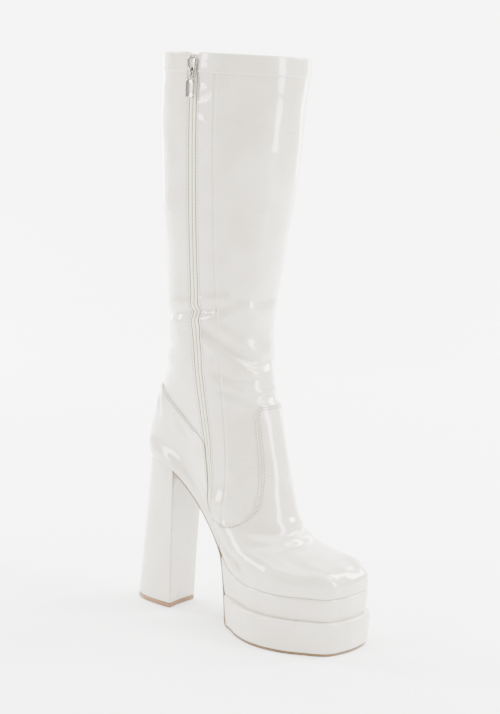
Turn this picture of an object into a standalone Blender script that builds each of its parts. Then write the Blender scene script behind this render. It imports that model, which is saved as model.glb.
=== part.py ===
"""Left go go boot: knee-high, two-step platform, tall block heel, full-length zip on the inner side.

Frame: metres, +Z up, toe along -Y, the wearer's outer side along +X. The origin is on the floor
under the ball of the foot. Inside the script a place is (s, x, z) in millimetres, with s running
forward from the back of the heel seat.
"""
import bmesh
import bpy
import numpy as np

# Driving dimensions, in millimetres
HEIGHT = 530.0              # floor to collar
BALL_S = 170.0              # ball of the foot, ahead of the heel's back: the origin
WALL = 1.8                  # patent upper with its lining
GAP = 0.3                   # between pieces that meet
LOWER_TIER = 31.0           # lower step of the platform with the outsole
UPPER_TIER = 21.0           # upper step of the platform
OUTSOLE = 2.6
HEEL_LIFT = 4.8
PLATFORM = LOWER_TIER + UPPER_TIER
STEP_IN = 3.5               # the upper step stands in from the lower one
FEATHER_IN = 1.8            # the upper stands in from the upper step
TIER_DRAFT = 1.5            # each step leans in towards the floor
COLLAR_BAND = 18.0
OVERLAY = 0.8               # thickness of shield, counter and collar hem
OVERLAY_GAP = 0.40
EDGE_MARGIN = 0.6           # that gap reaches this many rings past the shaped edge
EDGE_GAP = 1.10             # gap under an overlay's shaped edge, where facets don't match
SLOT_HALF = 4.0             # half the width between the two folded edges at the zip
TAPE_THICK = 1.2
TAPE_SINK = 0.5             # tape face below the leather
HEEL_BREAST_S = 40.0
HEEL_BACK_FLARE = 10.0      # the heel's back stands out this far at the floor

# Rings of the upper from the collar to the feather line. front/back: s and z of the ring's front
# and back, inner/outer: half widths, foot: share of the foot's outline, sag: share of the arch's dip
RING_COLUMNS = ("front_s", "front_z", "back_s", "back_z", "inner", "outer", "foot", "sag")
RINGS = (
    (143.0, 530.0, 7.0, 530.0, 63.5, 63.5, 0.00, 0.00),
    (142.5, 508.0, 6.0, 508.0, 62.0, 62.0, 0.00, 0.00),
    (140.5, 484.0, 5.0, 484.0, 60.5, 60.5, 0.00, 0.00),
    (139.5, 448.0, 5.5, 448.0, 58.0, 58.0, 0.00, 0.00),
    (136.0, 412.0, 8.0, 412.0, 55.0, 55.0, 0.00, 0.00),
    (131.5, 374.0, 11.5, 374.0, 51.7, 51.7, 0.00, 0.00),
    (127.0, 339.0, 14.5, 339.0, 48.8, 48.8, 0.00, 0.00),
    (122.5, 304.0, 17.5, 304.0, 45.5, 45.5, 0.00, 0.00),
    (121.5, 270.0, 19.5, 271.0, 42.5, 42.5, 0.00, 0.00),
    (125.0, 241.0, 18.5, 245.0, 40.5, 40.5, 0.02, 0.00),
    (131.5, 218.0, 14.0, 223.0, 39.0, 38.5, 0.06, 0.02),
    (138.5, 196.0, 8.5, 205.0, 38.0, 37.0, 0.14, 0.06),
    (144.5, 174.0, 4.0, 191.0, 37.5, 36.0, 0.26, 0.14),
    (150.0, 151.0, 1.2, 180.0, 38.0, 36.0, 0.40, 0.26),
    (155.5, 128.0, 0.2, 171.5, 39.5, 37.0, 0.55, 0.42),
    (163.0, 105.0, 0.0, 165.0, 42.5, 39.0, 0.70, 0.60),
    (177.0, 88.0, 0.3, 160.5, 46.5, 41.5, 0.83, 0.76),
    (198.0, 81.5, 0.7, 157.0, 49.5, 43.5, 0.92, 0.87),
    (219.0, 76.0, 1.2, 154.0, 51.0, 44.5, 0.98, 0.94),
    (231.0, 68.0, 1.8, 152.0, 51.3, 44.8, 1.00, 0.98),
    (233.5, 59.5, 2.2, 150.5, 51.0, 44.6, 1.00, 1.00),
    (233.0, 52.5, 2.6, 149.0, 50.3, 44.0, 1.00, 1.00),
)
ANKLE_RING = 9
SHAFT_SQUARE = 2.15         # superellipse power of a ring: 2 is an ellipse

# The feather line in plan, from the toe's middle round the inner side to the heel and back
FOOT_OUTLINE = (
    (233.0, 5.0), (231.0, -12.0), (224.0, -26.0), (211.0, -37.0), (194.0, -46.5), (174.0, -50.3),
    (156.0, -48.5), (138.0, -41.0), (120.0, -31.0), (103.0, -25.0), (82.0, -24.0), (58.0, -26.0),
    (34.0, -27.5), (15.0, -22.5), (5.5, -12.0), (2.6, 0.0), (5.5, 12.0), (15.0, 22.5), (34.0, 27.0),
    (58.0, 25.0), (82.0, 22.5), (103.0, 23.0), (120.0, 28.5), (138.0, 36.5), (156.0, 42.0),
    (174.0, 44.0), (194.0, 42.5), (211.0, 37.0), (224.0, 29.5), (231.0, 19.5),
)
HEEL_POINT = 15             # the outline's point at the back of the heel

# The seat's side view: s and z of the line on which upper, insole and sole meet
SEAT = ((-20.0, 150.5), (2.6, 149.0), (22.0, 146.0), (42.0, 139.0), (58.0, 127.0), (73.0, 111.0),
        (87.0, 92.0), (98.0, 75.5), (108.0, 62.0), (120.0, 54.5), (136.0, 52.5), (170.0, 52.3),
        (233.0, 52.5), (260.0, 52.5))

# The zip's middle line on the inner side: ring number and s
ZIP_LINE = ((0.0, 72.0), (4.0, 70.0), (7.0, 72.0), (9.0, 76.0), (11.0, 82.0), (13.0, 89.0),
            (15.0, 94.0), (17.0, 97.0), (19.0, 99.0), (21.0, 100.0))
ZIP_END = 18.0              # ring number of the slot's lower end

# Edges of the vamp shield: ring number and how far round from the front, as a share of the way
# to the zip on the inner side and to the outer side's same place
SHIELD_EDGE = ((10.2, 0.20), (10.5, 0.31), (11.0, 0.33), (12.5, 0.35), (13.5, 0.38), (14.5, 0.48),
               (15.0, 0.63), (15.25, 0.74), (15.5, 0.86), (16.0, 1.0), (22.0, 1.0))
# Top edge of the counter: ring number and share of the way from the back's middle to the zip
COUNTER_EDGE = ((10.2, 0.30), (10.5, 0.46), (11.0, 0.62), (11.8, 0.82), (12.5, 1.0),
                (22.0, 1.0))
# Ring numbers at which upper, shield and counter have their rows, so that their facets match
SHAFT_ROWS = (0.0, 0.8, 2.0, 3.5, 5.0, 6.5, 8.0, 9.0)
FOOT_ROWS = (10.2, 10.5, 11.0, 11.8, 12.5, 13.5, 14.5, 15.0, 15.25, 15.5, 15.75, 16.0, 16.5, 17.2, 18.0,
             19.0, 19.6, 20.5)
UPPER_ROWS = SHAFT_ROWS + FOOT_ROWS + (21.0,)
SHIELD_ROWS = FOOT_ROWS
COUNTER_ROWS = FOOT_ROWS


def catmull(table, at):
    """Smooth curve through the rows of a table: a Catmull-Rom cubic on the first column."""
    rows = np.asarray(table, float)
    key, val = rows[:, 0], rows[:, 1:]
    slope = np.gradient(val, key, axis=0)
    at = np.clip(np.asarray(at, float), key[0], key[-1])
    i = np.clip(np.searchsorted(key, at, side="right") - 1, 0, len(key) - 2)
    width = (key[i + 1] - key[i])[..., None]
    f = ((at - key[i]) / width[..., 0])[..., None]
    return ((2 * f**3 - 3 * f**2 + 1) * val[i] + (f**3 - 2 * f**2 + f) * width * slope[i]
            + (3 * f**2 - 2 * f**3) * val[i + 1] + (f**3 - f**2) * width * slope[i + 1])


def closed_curve(points, count):
    """Closed Catmull-Rom curve through plan points, count samples for each span."""
    p = np.asarray(points, float)
    f = (np.arange(count) / count)[None, :, None]
    a, b, c, d = (np.roll(p, k, axis=0)[:, None] for k in (1, 0, -1, -2))
    curve = 0.5 * (2 * b + (c - a) * f + (2 * a - 5 * b + 4 * c - d) * f**2
                   + (3 * b - a - 3 * c + d) * f**3)
    return curve.reshape(-1, p.shape[1])


def by_length(line, count):
    """The same open line with count points at equal steps of its own length."""
    step = np.r_[0.0, np.cumsum(np.linalg.norm(np.diff(line, axis=0), axis=1))]
    at = np.linspace(0.0, step[-1], count)
    return np.stack([np.interp(at, step, line[:, k]) for k in range(line.shape[1])], axis=1)


def seat_z(s):
    """Height of the seat line at a distance s from the heel's back."""
    return catmull(SEAT, s)[..., 0]


def arch_dip(s):
    """How far the seat line lies below a straight line from the heel's back to the toe."""
    front_s, front_z, back_s, back_z = RINGS[-1][:4]
    chord = back_z + (front_z - back_z) * (s - back_s) / (front_s - back_s)
    return seat_z(s) - chord


SIDE_SAMPLES = 90           # points on each side of a ring
SPAN_SAMPLES = 40           # points of the dense plan outline for each span


def unit_rings():
    """Two closed outlines with the same number of points: a superellipse and the foot's plan.

    Each runs front, inner side, back, outer side; column 0 is 0 at the back and 1 at the front,
    column 1 is the half width as a share of the widest.
    """
    turn = np.linspace(0.0, np.pi, 400)
    power = 2.0 / SHAFT_SQUARE
    across = np.sin(turn) ** power
    along = 0.5 + 0.5 * np.sign(np.cos(turn)) * np.abs(np.cos(turn)) ** power
    span = HEIGHT / 4.0
    half = by_length(np.stack([along * span, across * span / 2.0], axis=1), SIDE_SAMPLES + 1)
    half = half / (span, span / 2.0)
    shaft = np.concatenate([half * (1, -1), half[::-1][1:-1]])
    dense = closed_curve(FOOT_OUTLINE, SPAN_SAMPLES)
    back = HEEL_POINT * SPAN_SAMPLES
    inner = by_length(dense[:back + 1], SIDE_SAMPLES + 1)
    outer = by_length(np.concatenate([dense[back:], dense[:1]]), SIDE_SAMPLES + 1)
    foot = np.concatenate([inner, outer[1:-1]])
    length = foot[:, 0].max() - foot[:, 0].min()
    along_foot = (foot[:, 0] - foot[:, 0].min()) / length
    across_foot = np.where(foot[:, 1] < 0, foot[:, 1] / -foot[:, 1].min(),
                           foot[:, 1] / foot[:, 1].max())
    return shaft, np.stack([along_foot, across_foot], axis=1)


class Last:
    """The outer face of the upper as a function of ring number t and arc length q round a ring.

    q runs from the front's middle over the inner side to the back, and on over the outer side.
    """
    ROWS_PER_RING = 16

    def __init__(self):
        shaft, foot = unit_rings()
        count = len(RINGS)
        t = np.arange((count - 1) * self.ROWS_PER_RING + 1) / self.ROWS_PER_RING
        table = np.column_stack([np.arange(count), np.asarray(RINGS)])
        row = dict(zip(RING_COLUMNS, catmull(table, t).T))
        share = np.clip(row["foot"], 0.0, 1.0)[:, None]
        along = (1 - share) * shaft[:, 0] + share * foot[:, 0]
        across = (1 - share) * shaft[:, 1] + share * foot[:, 1]
        half = np.where(across < 0, row["inner"][:, None], row["outer"][:, None])
        s = row["back_s"][:, None] + (row["front_s"] - row["back_s"])[:, None] * along
        z = row["back_z"][:, None] + (row["front_z"] - row["back_z"])[:, None] * along
        dip = arch_dip(s) - along * arch_dip(row["front_s"])[:, None]
        dip = dip - (1 - along) * arch_dip(row["back_s"])[:, None]
        z = z + row["sag"][:, None] * dip
        self.t = t
        self.grid = np.stack([s, across * half, z], axis=2)
        around = np.concatenate([self.grid, self.grid[:, :1]], axis=1)
        steps = np.linalg.norm(np.diff(around, axis=1), axis=2)
        self.arc = np.concatenate([np.zeros((len(t), 1)), np.cumsum(steps, axis=1)], axis=1)
        down = np.gradient(self.grid, axis=0)
        along_ring = np.roll(self.grid, -1, axis=1) - np.roll(self.grid, 1, axis=1)
        normal = np.cross(down, along_ring)
        normal /= np.linalg.norm(normal, axis=2, keepdims=True)
        centre = self.grid.mean(axis=1, keepdims=True)
        outward = np.sign(((self.grid - centre) * normal).sum(axis=2).mean())
        self.normal = normal * outward
        self.length = self.arc[:, -1]

    def row_at(self, t):
        """Ring t's points, normals and arc lengths, straight between the two nearest rows."""
        place = np.clip(t * self.ROWS_PER_RING, 0, len(self.t) - 1.001)
        i = int(place)
        f = place - i
        mix = lambda a: (1 - f) * a[i] + f * a[i + 1]
        return mix(self.grid), mix(self.normal), mix(self.arc)

    def points(self, t, q, lift=0.0):
        """Points at arc lengths q on ring t, lifted off the face by lift."""
        grid, normal, arc = self.row_at(t)
        q = np.mod(np.asarray(q, float), arc[-1])
        closed_grid = np.concatenate([grid, grid[:1]])
        closed_normal = np.concatenate([normal, normal[:1]])
        place = np.stack([np.interp(q, arc, closed_grid[:, k]) for k in range(3)], axis=1)
        way = np.stack([np.interp(q, arc, closed_normal[:, k]) for k in range(3)], axis=1)
        way /= np.linalg.norm(way, axis=1, keepdims=True)
        return place + way * np.asarray(lift, float).reshape(-1, 1)

    def zip_arc(self, t):
        """Arc length from the front's middle to the zip's middle line on ring t."""
        grid, _, arc = self.row_at(t)
        side = slice(0, SIDE_SAMPLES + 1)
        target = float(catmull(ZIP_LINE, t)[0])
        return float(np.interp(-target, -grid[side, 0], arc[side]))

    def back_arc(self, t):
        """Arc length from the front's middle to the back's middle on ring t."""
        return float(self.row_at(t)[2][SIDE_SAMPLES])

    def ring_length(self, t):
        return float(np.interp(t, self.t, self.length))


LAST = Last()


def world(points):
    """(s, x, z) in millimetres to the part's frame in metres."""
    p = np.asarray(points, float).reshape(-1, 3)
    return np.stack([p[:, 1], BALL_S - p[:, 0], p[:, 2]], axis=1) / 1000.0


def material(name, colour, roughness, metallic=0.0):
    """One Principled material with the piece's colour."""
    made = bpy.data.materials.new(name)
    made.use_nodes = True
    shader = made.node_tree.nodes["Principled BSDF"]
    shader.inputs["Base Color"].default_value = (*colour, 1.0)
    shader.inputs["Roughness"].default_value = roughness
    shader.inputs["Metallic"].default_value = metallic
    return made


def solid(name, points, faces, finish):
    """A named object from points in millimetres and faces, shaded smooth."""
    mesh = bpy.data.meshes.new(name)
    mesh.from_pydata(world(points).tolist(), [], [tuple(int(i) for i in f) for f in faces])
    sheet = bmesh.new()
    sheet.from_mesh(mesh)
    bmesh.ops.recalc_face_normals(sheet, faces=sheet.faces)
    sheet.to_mesh(mesh)
    sheet.free()
    made = bpy.data.objects.new(name, mesh)
    bpy.context.scene.collection.objects.link(made)
    mesh.materials.append(finish)
    mesh.shade_smooth()
    mesh.set_sharp_from_angle(angle=np.radians(40.0))
    return made


def shell(name, outer, inner, keep, wrap, finish):
    """A wall between two grids of the same shape.

    keep tells which cells of the grid are there; every open border gets its edge face, so the
    wall is closed. wrap joins the last column to the first. Each cell is two triangles with the
    same diagonal on every grid, so that walls which lie on each other stay parallel.
    """
    rows, cols = outer.shape[:2]
    number = np.arange(rows * cols).reshape(rows, cols)
    faces = []
    border = {}
    for i in range(rows - 1):
        for j in range(cols if wrap else cols - 1):
            if not keep[i, j]:
                continue
            k = (j + 1) % cols
            loop = (number[i, j], number[i + 1, j], number[i + 1, k], number[i, k])
            faces += [loop[:3], (loop[0], loop[2], loop[3])]
            for a, b in zip(loop, loop[1:] + loop[:1]):
                if (b, a) in border:
                    del border[(b, a)]
                else:
                    border[(a, b)] = True
    offset = rows * cols
    back = [tuple(i + offset for i in reversed(face)) for face in faces]
    edge = [(b, a, a + offset, b + offset) for a, b in border]
    points = np.concatenate([outer.reshape(-1, 3), inner.reshape(-1, 3)])
    used = sorted({i for face in faces + back for i in face})
    renumber = {old: new for new, old in enumerate(used)}
    every = [tuple(renumber[i] for i in face) for face in faces + back + edge]
    return solid(name, points[used], every, finish)


def stack(name, loops, finish):
    """A solid through closed loops of equal counts, from the top loop down, with capped ends."""
    count = len(loops[0])
    faces = [tuple(range(count))]
    for i in range(len(loops) - 1):
        for j in range(count):
            k = (j + 1) % count
            faces.append((i * count + j, (i + 1) * count + j, (i + 1) * count + k, i * count + k))
    last = (len(loops) - 1) * count
    faces.append(tuple(range(last + count - 1, last - 1, -1)))
    return solid(name, np.concatenate(loops), faces, finish)


FRONT_COLS = 15             # cells of the upper from the front's middle to the zip
BACK_COLS = 9               # from the zip to the back's middle


def upper_columns(t):
    """Arc lengths of the upper's columns on ring t; the slot lies between two of them."""
    middle = LAST.zip_arc(t)
    back = LAST.back_arc(t)
    total = LAST.ring_length(t)
    front = np.linspace(0.0, middle - SLOT_HALF, FRONT_COLS + 1)
    rear = np.linspace(middle + SLOT_HALF, back, BACK_COLS + 1)
    mirror = total - middle
    outer_rear = np.linspace(back, mirror, BACK_COLS + 1)[1:]
    outer_front = np.linspace(mirror, total, FRONT_COLS + 1)[1:-1]
    return np.concatenate([front, rear, outer_rear, outer_front])


def wall_grid(rows, columns, lift):
    """Grid of points on the last: one row for each ring number, lifted by lift."""
    return np.stack([LAST.points(t, columns(t), lift) for t in rows])


def overlay_grids(rows, columns, edge):
    """Outer and inner grid of an overlay whose edge table gives its share at each ring."""
    share = [np.interp(t - EDGE_MARGIN, *np.transpose(edge)) for t in rows]
    under = [EDGE_GAP if part < 1.0 else OVERLAY_GAP for part in share]
    inner = np.stack([LAST.points(t, columns(t), gap) for t, gap in zip(rows, under)])
    outer = np.stack([LAST.points(t, columns(t), gap + OVERLAY) for t, gap in zip(rows, under)])
    return outer, inner


def make_upper():
    """The hollow upper: one wall from collar to feather line with the zip's slot left open."""
    rows = UPPER_ROWS
    outer = wall_grid(rows, upper_columns, 0.0)
    inner = wall_grid(rows, upper_columns, -WALL)
    inner[0, :, 2] = outer[0, :, 2]
    for face in (outer, inner):
        face[-1, :, 2] = seat_z(face[-1, :, 0])
    keep = np.ones((len(rows) - 1, outer.shape[1]), bool)
    keep[:rows.index(ZIP_END), FRONT_COLS] = False
    finish = material("white_patent_upper", (0.80, 0.78, 0.73), 0.12)
    return shell("upper", outer, inner, keep, True, finish)


def make_collar_band():
    """The turned hem, proud of the shaft's top, open at the zip."""
    low = (HEIGHT - COLLAR_BAND - RINGS[0][1]) / (RINGS[1][1] - RINGS[0][1])
    rows = (0.0, low)
    outer = wall_grid(rows, upper_columns, OVERLAY_GAP + OVERLAY)
    inner = wall_grid(rows, upper_columns, OVERLAY_GAP)
    outer[0, :, 2] = HEIGHT
    inner[0, :, 2] = HEIGHT
    keep = np.ones((len(rows) - 1, outer.shape[1]), bool)
    keep[:, FRONT_COLS] = False
    finish = material("white_patent_hem", (0.80, 0.78, 0.73), 0.12)
    return shell("collar_band", outer, inner, keep, True, finish)


def make_shield():
    """The tall vamp: from its straight top edge at the ankle down to the toe's feather line."""
    half_cols = FRONT_COLS

    def columns(t):
        share = float(np.interp(t, *np.transpose(SHIELD_EDGE)))
        middle = LAST.zip_arc(t)
        total = LAST.ring_length(t)
        inner = share * (middle - SLOT_HALF - GAP)
        outer = share * (middle - GAP)
        around = np.concatenate([np.linspace(-outer, 0.0, half_cols + 1),
                                 np.linspace(0.0, inner, half_cols + 1)[1:]])
        return np.mod(around, total)

    outer, inner = overlay_grids(SHIELD_ROWS, columns, SHIELD_EDGE)
    keep = np.ones((len(SHIELD_ROWS) - 1, outer.shape[1] - 1), bool)
    finish = material("white_patent_vamp", (0.81, 0.79, 0.74), 0.12)
    return shell("vamp_shield", outer, inner, keep, False, finish)


def make_counter():
    """The back panel round the heel, from the zip round the back to the outer side."""
    half_cols = BACK_COLS

    def columns(t):
        share = float(np.interp(t, *np.transpose(COUNTER_EDGE)))
        back = LAST.back_arc(t)
        total = LAST.ring_length(t)
        middle = LAST.zip_arc(t)
        inner = back - share * (back - middle - SLOT_HALF - GAP)
        outer = back + share * (total - middle - back - GAP)
        return np.concatenate([np.linspace(inner, back, half_cols + 1),
                               np.linspace(back, outer, half_cols + 1)[1:]])

    outer, inner = overlay_grids(COUNTER_ROWS, columns, COUNTER_EDGE)
    keep = np.ones((len(COUNTER_ROWS) - 1, outer.shape[1] - 1), bool)
    finish = material("white_patent_counter", (0.80, 0.78, 0.73), 0.12)
    return shell("counter", outer, inner, keep, False, finish)


COIL_HALF = 1.5             # half width of the closed coil
COIL_RISE = 0.7             # coil above the tape


def make_zip_tape():
    """The woven tape with its closed coil, a strip in the upper's slot."""
    rows = [t for t in UPPER_ROWS if t < ZIP_END - 0.5] + [ZIP_END - 0.15]
    edge = SLOT_HALF - GAP
    across = np.array([-edge, -COIL_HALF - 0.3, -COIL_HALF, COIL_HALF, COIL_HALF + 0.3, edge])
    rise = np.array([0.0, 0.0, COIL_RISE, COIL_RISE, 0.0, 0.0])

    def columns(t):
        return LAST.zip_arc(t) + across

    outer = np.stack([LAST.points(t, columns(t), rise - TAPE_SINK) for t in rows])
    inner = wall_grid(rows, columns, -TAPE_SINK - TAPE_THICK)
    outer[0, :, 2] = HEIGHT - 1.0
    inner[0, :, 2] = HEIGHT - 1.0
    keep = np.ones((len(rows) - 1, len(across) - 1), bool)
    return shell("zip_tape", outer, inner, keep, False, material("zip_tape", (0.70, 0.66, 0.54), 0.6))


SOLE_SIDE_POINTS = 23       # points on each side of the platform's outline
TIER_ROUND = 1.3            # radius of a step's top edge
BEND_ROOM = 0.8             # more room under the seat line's bend, where the facets differ
REAR_TOP_S = 103.4          # the platform's rear face where it meets the seat line
REAR_STEP_S = 109.8         # and where the two steps meet
REAR_FLOOR_S = 113.4        # and at its foot


def offset_outline(grow):
    """The feather line's plan, dense and closed, grown outwards by grow, a function of s."""
    dense = closed_curve(FOOT_OUTLINE, SPAN_SAMPLES)
    ahead = np.roll(dense, -1, axis=0) - np.roll(dense, 1, axis=0)
    out = np.stack([-ahead[:, 1], ahead[:, 0]], axis=1)
    out /= np.linalg.norm(out, axis=1, keepdims=True)
    if out[0, 0] < 0:
        out = -out
    return dense + out * grow(dense[:, 0])[:, None]


def platform_outline(grow, rear_s):
    """Plan outline of the platform: the feather line grown outwards and cut across at rear_s.

    Two lines of the same count from the toe's middle back to the rear corners, inner and outer.
    grow is a function of s.
    """
    grown = offset_outline(grow)
    back = HEEL_POINT * SPAN_SAMPLES
    sides = []
    for line in (grown[:back + 1], np.concatenate([grown[:1], grown[back:][::-1]])):
        cut = np.argmax(line[:, 0] < rear_s)
        kept = line[:cut]
        f = (kept[-1, 0] - rear_s) / (kept[-1, 0] - line[cut, 0])
        corner = kept[-1] + f * (line[cut] - kept[-1])
        sides.append(by_length(np.concatenate([kept, [corner]]), SOLE_SIDE_POINTS))
    return sides


def fade_in(s, start, length):
    """0 before start, 1 a length further on, smooth between."""
    f = np.clip((s - start) / length, 0.0, 1.0)
    return f * f * (3 - 2 * f)


def bend_room(s):
    """Room between the upper step and the seat line behind the ball."""
    return BEND_ROOM * (1 - fade_in(s, 112.0, 16.0))


def plate(name, levels, finish):
    """A solid through plan outlines: levels are (grow, rear_s, z function) from the top down."""
    loops = []
    for grow, rear_s, height in levels:
        inner, outer = platform_outline(grow, rear_s)
        plan = np.concatenate([inner, outer[::-1][:-1]])
        loops.append(np.column_stack([plan, height(plan[:, 0])]))
    count = len(loops[0])
    n = SOLE_SIDE_POINTS
    faces = []
    for i in range(len(loops) - 1):
        for j in range(count):
            k = (j + 1) % count
            faces.append((i * count + j, i * count + k, (i + 1) * count + k, (i + 1) * count + j))
    for base, turn in ((0, 1), ((len(loops) - 1) * count, -1)):
        for i in range(n - 1):
            a, b = i, i + 1
            c, d = count - i - 1, (count - i) % count
            ring = (a, b, c) if i == 0 else (a, b, c, d)
            faces.append(tuple(base + k for k in ring)[::turn])
    return solid(name, np.concatenate(loops), faces, finish)


def tier_levels(top, bottom, out, rear_top, rear_bottom):
    """Levels of one step: a rounded top edge and walls that lean in towards the floor.

    top is the top face's height as a function of s, out grows the outline as a function of s.
    """
    levels = []
    for turn in (0.0, 30.0, 60.0, 90.0):
        drop = TIER_ROUND * (1 - np.cos(np.radians(turn)))
        inset = TIER_ROUND * (1 - np.sin(np.radians(turn)))
        levels.append((lambda s, i=inset: out(s) - i, rear_top, lambda s, d=drop: top(s) - d))
    levels.append((lambda s: out(s) - TIER_DRAFT, rear_bottom, lambda s: np.full_like(s, bottom)))
    return levels


def make_platform():
    """The two covered steps of the platform; the upper one's top follows the seat line."""
    def upper_out(s):
        return FEATHER_IN + np.zeros_like(s)

    def lower_out(s):
        return FEATHER_IN + STEP_IN * fade_in(s, 108.0, 34.0)

    def lower_top(s):
        return np.full_like(s, LOWER_TIER)

    finish = material("white_patent_platform", (0.80, 0.78, 0.73), 0.14)
    plate("platform_upper_tier",
          tier_levels(lambda s: seat_z(s) - GAP - bend_room(s), LOWER_TIER + GAP, upper_out, REAR_TOP_S, REAR_STEP_S),
          finish)
    plate("platform_lower_tier",
          tier_levels(lower_top, OUTSOLE + GAP, lower_out, REAR_STEP_S, REAR_FLOOR_S), finish)


# The outsole follows the seat line over the arch between these two s values, then runs down the
# platform's rear to the floor through these points: s and z of its outer face
ARCH_SPAN = (42.0, 97.0)
ARCH_ROWS = 13
ARCH_GAP = 0.8              # sole to seat line over the arch, where the facets of both curve
SOLE_REAR = ((99.0, 66.5), (101.6, 57.0), (103.8, 46.0), (106.0, 33.0), (107.8, 20.0),
             (109.3, 8.0), (109.9, 4.0), (111.0, 1.2), (113.8, 0.0))


def sole_path():
    """Side view of the outsole's outer face: the seat line set off downwards, then the rear."""
    s = np.linspace(*ARCH_SPAN, ARCH_ROWS)
    line = np.column_stack([s, seat_z(s)])
    way = np.gradient(line, axis=0)
    way /= np.linalg.norm(way, axis=1, keepdims=True)
    down = np.column_stack([way[:, 1], -way[:, 0]])
    return np.concatenate([line + down * (OUTSOLE + ARCH_GAP), SOLE_REAR])



def make_outsole():
    """The thin tan sole: one sheet from the heel's breast to the toe."""
    path = sole_path()
    way = np.gradient(path, axis=0)
    way[-1] = (1.0, 0.0)
    up = np.stack([-way[:, 1], way[:, 0]], axis=1)
    up /= np.linalg.norm(up, axis=1, keepdims=True)
    inner, outer = platform_outline(lambda s: FEATHER_IN + (STEP_IN) * fade_in(s, 108.0, 34.0)
                                    - TIER_DRAFT - GAP, path[-1, 0] + 1.5)
    dense = closed_curve(FOOT_OUTLINE, SPAN_SAMPLES)
    half = HEEL_POINT * SPAN_SAMPLES
    loops = []
    for (s, z), (up_s, up_z) in zip(path, up):
        low = np.interp(-s, -dense[:half, 0], dense[:half, 1])
        high = np.interp(s, dense[half:, 0], dense[half:, 1])
        grow = (FEATHER_IN - 0.4) * fade_in(np.asarray(s), 85.0, 20.0) - 0.6
        top = (s + up_s * OUTSOLE, z + up_z * OUTSOLE)
        loops.append([(s, low - grow, z), (s, high + grow, z), (top[0], high + grow, top[1]),
                      (top[0], low - grow, top[1])])
    for a, b in zip(inner[::-1], outer[::-1]):
        if a[1] == b[1]:
            break
        loops.append([(a[0], a[1], 0.0), (b[0], b[1], 0.0), (b[0], b[1], OUTSOLE),
                      (a[0], a[1], OUTSOLE)])
    return stack("outsole", [np.asarray(loop) for loop in loops],
                 material("tan_sole", (0.42, 0.25, 0.12), 0.45))


HEEL_TOP_HALF = 25.4
HEEL_FOOT_HALF = 20.0
HEEL_TOP_BACK_S = 1.8
HEEL_BREAST_DISH = 0.8      # hollow of the heel's front face
HEEL_SIDE_POINTS = 18
HEEL_SEAT_GAP = 1.0         # heel to seat line, where the facets of both curve


def heel_loop(share, height):
    """D-shaped plan of the heel: share 0 at the seat, 1 at the floor; height is a function of s."""
    half = HEEL_TOP_HALF + (HEEL_FOOT_HALF - HEEL_TOP_HALF) * share
    back_s = HEEL_TOP_BACK_S - (HEEL_BACK_FLARE + HEEL_TOP_BACK_S) * share
    power = 2.0 / 2.4
    turn = np.linspace(-np.pi / 2, np.pi / 2, 2 * HEEL_SIDE_POINTS + 1)
    s = HEEL_BREAST_S - (HEEL_BREAST_S - back_s) * np.abs(np.cos(turn)) ** power
    s[0] = s[-1] = HEEL_BREAST_S
    x = half * np.sign(np.sin(turn)) * np.abs(np.sin(turn)) ** power
    dish = np.array([0.5, 0.0, -0.5]) * half
    breast = np.column_stack([HEEL_BREAST_S - HEEL_BREAST_DISH * np.cos(dish / half * np.pi), dish])
    plan = np.concatenate([np.column_stack([s, x]), breast])
    return np.column_stack([plan, height(plan[:, 0])])


def make_heel():
    """The covered block heel and its tan lift."""
    bottom = HEEL_LIFT + GAP
    loops = []
    for share in (0.0, 0.12, 0.3, 0.5, 0.75, 1.0):
        def height(s, f=share):
            top = seat_z(s) - HEEL_SEAT_GAP
            return top + (bottom - top) * f
        loops.append(heel_loop(share, height))
    stack("heel_block", loops, material("white_patent_heel", (0.80, 0.78, 0.73), 0.12))
    lift = [heel_loop(1.0, lambda s, z=z: np.full_like(s, z)) for z in (HEEL_LIFT, 0.0)]
    lift[1][:, :2] = (lift[1][:, :2] - (15.0, 0.0)) * 0.985 + (15.0, 0.0)
    stack("heel_top_lift", lift, material("tan_lift", (0.50, 0.28, 0.13), 0.4))


INSOLE = 2.0
INSOLE_IN = 1.5             # clear of the upper's inner face
INSOLE_ROWS = 34


def make_insole():
    """The board under the foot, following the seat line from heel to toe."""
    edge = offset_outline(lambda s: np.full_like(s, -WALL - INSOLE_IN))
    half = HEEL_POINT * SPAN_SAMPLES
    inner = by_length(edge[:half + 1], INSOLE_ROWS)[1:-1]
    outer = by_length(np.concatenate([edge[half:], edge[:1]])[::-1], INSOLE_ROWS)[1:-1]
    loops = []
    for a, b in zip(inner, outer):
        za = float(seat_z(a[0])) + GAP
        zb = float(seat_z(b[0])) + GAP
        loops.append(np.array([(*a, za), (*b, zb), (*b, zb + INSOLE), (*a, za + INSOLE)]))
    return stack("insole", loops, material("insole_board", (0.75, 0.70, 0.60), 0.7))


# The slider and its tab, in the zip's own directions: along the ring (a), outwards (b), up (c)
SLIDER_T = 0.62             # ring number of the slider's middle
SLIDER_WIDE = 11.0
SLIDER_LONG = 18.0
SLIDER_THICK = 2.6
SLIDER_LIFT = 1.5           # slider's plate above the upper's face, clear of the hem
SLIDER_FOOT = 0.5           # its narrow foot starts here, 0.3 mm above the coil
ARCH_WIDE = 3.0
ARCH_LONG = 9.0
ARCH_THICK = 1.1
ARCH_ROOM = 2.2             # clear height under the arch
HINGE_C = -3.0              # hinge below the slider's middle
TAB_WIDE = 8.6
TAB_LONG = 24.0
TAB_THICK = 1.4
TAB_WINDOW = (4.4, 7.4)     # width and length of the tab's window


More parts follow.
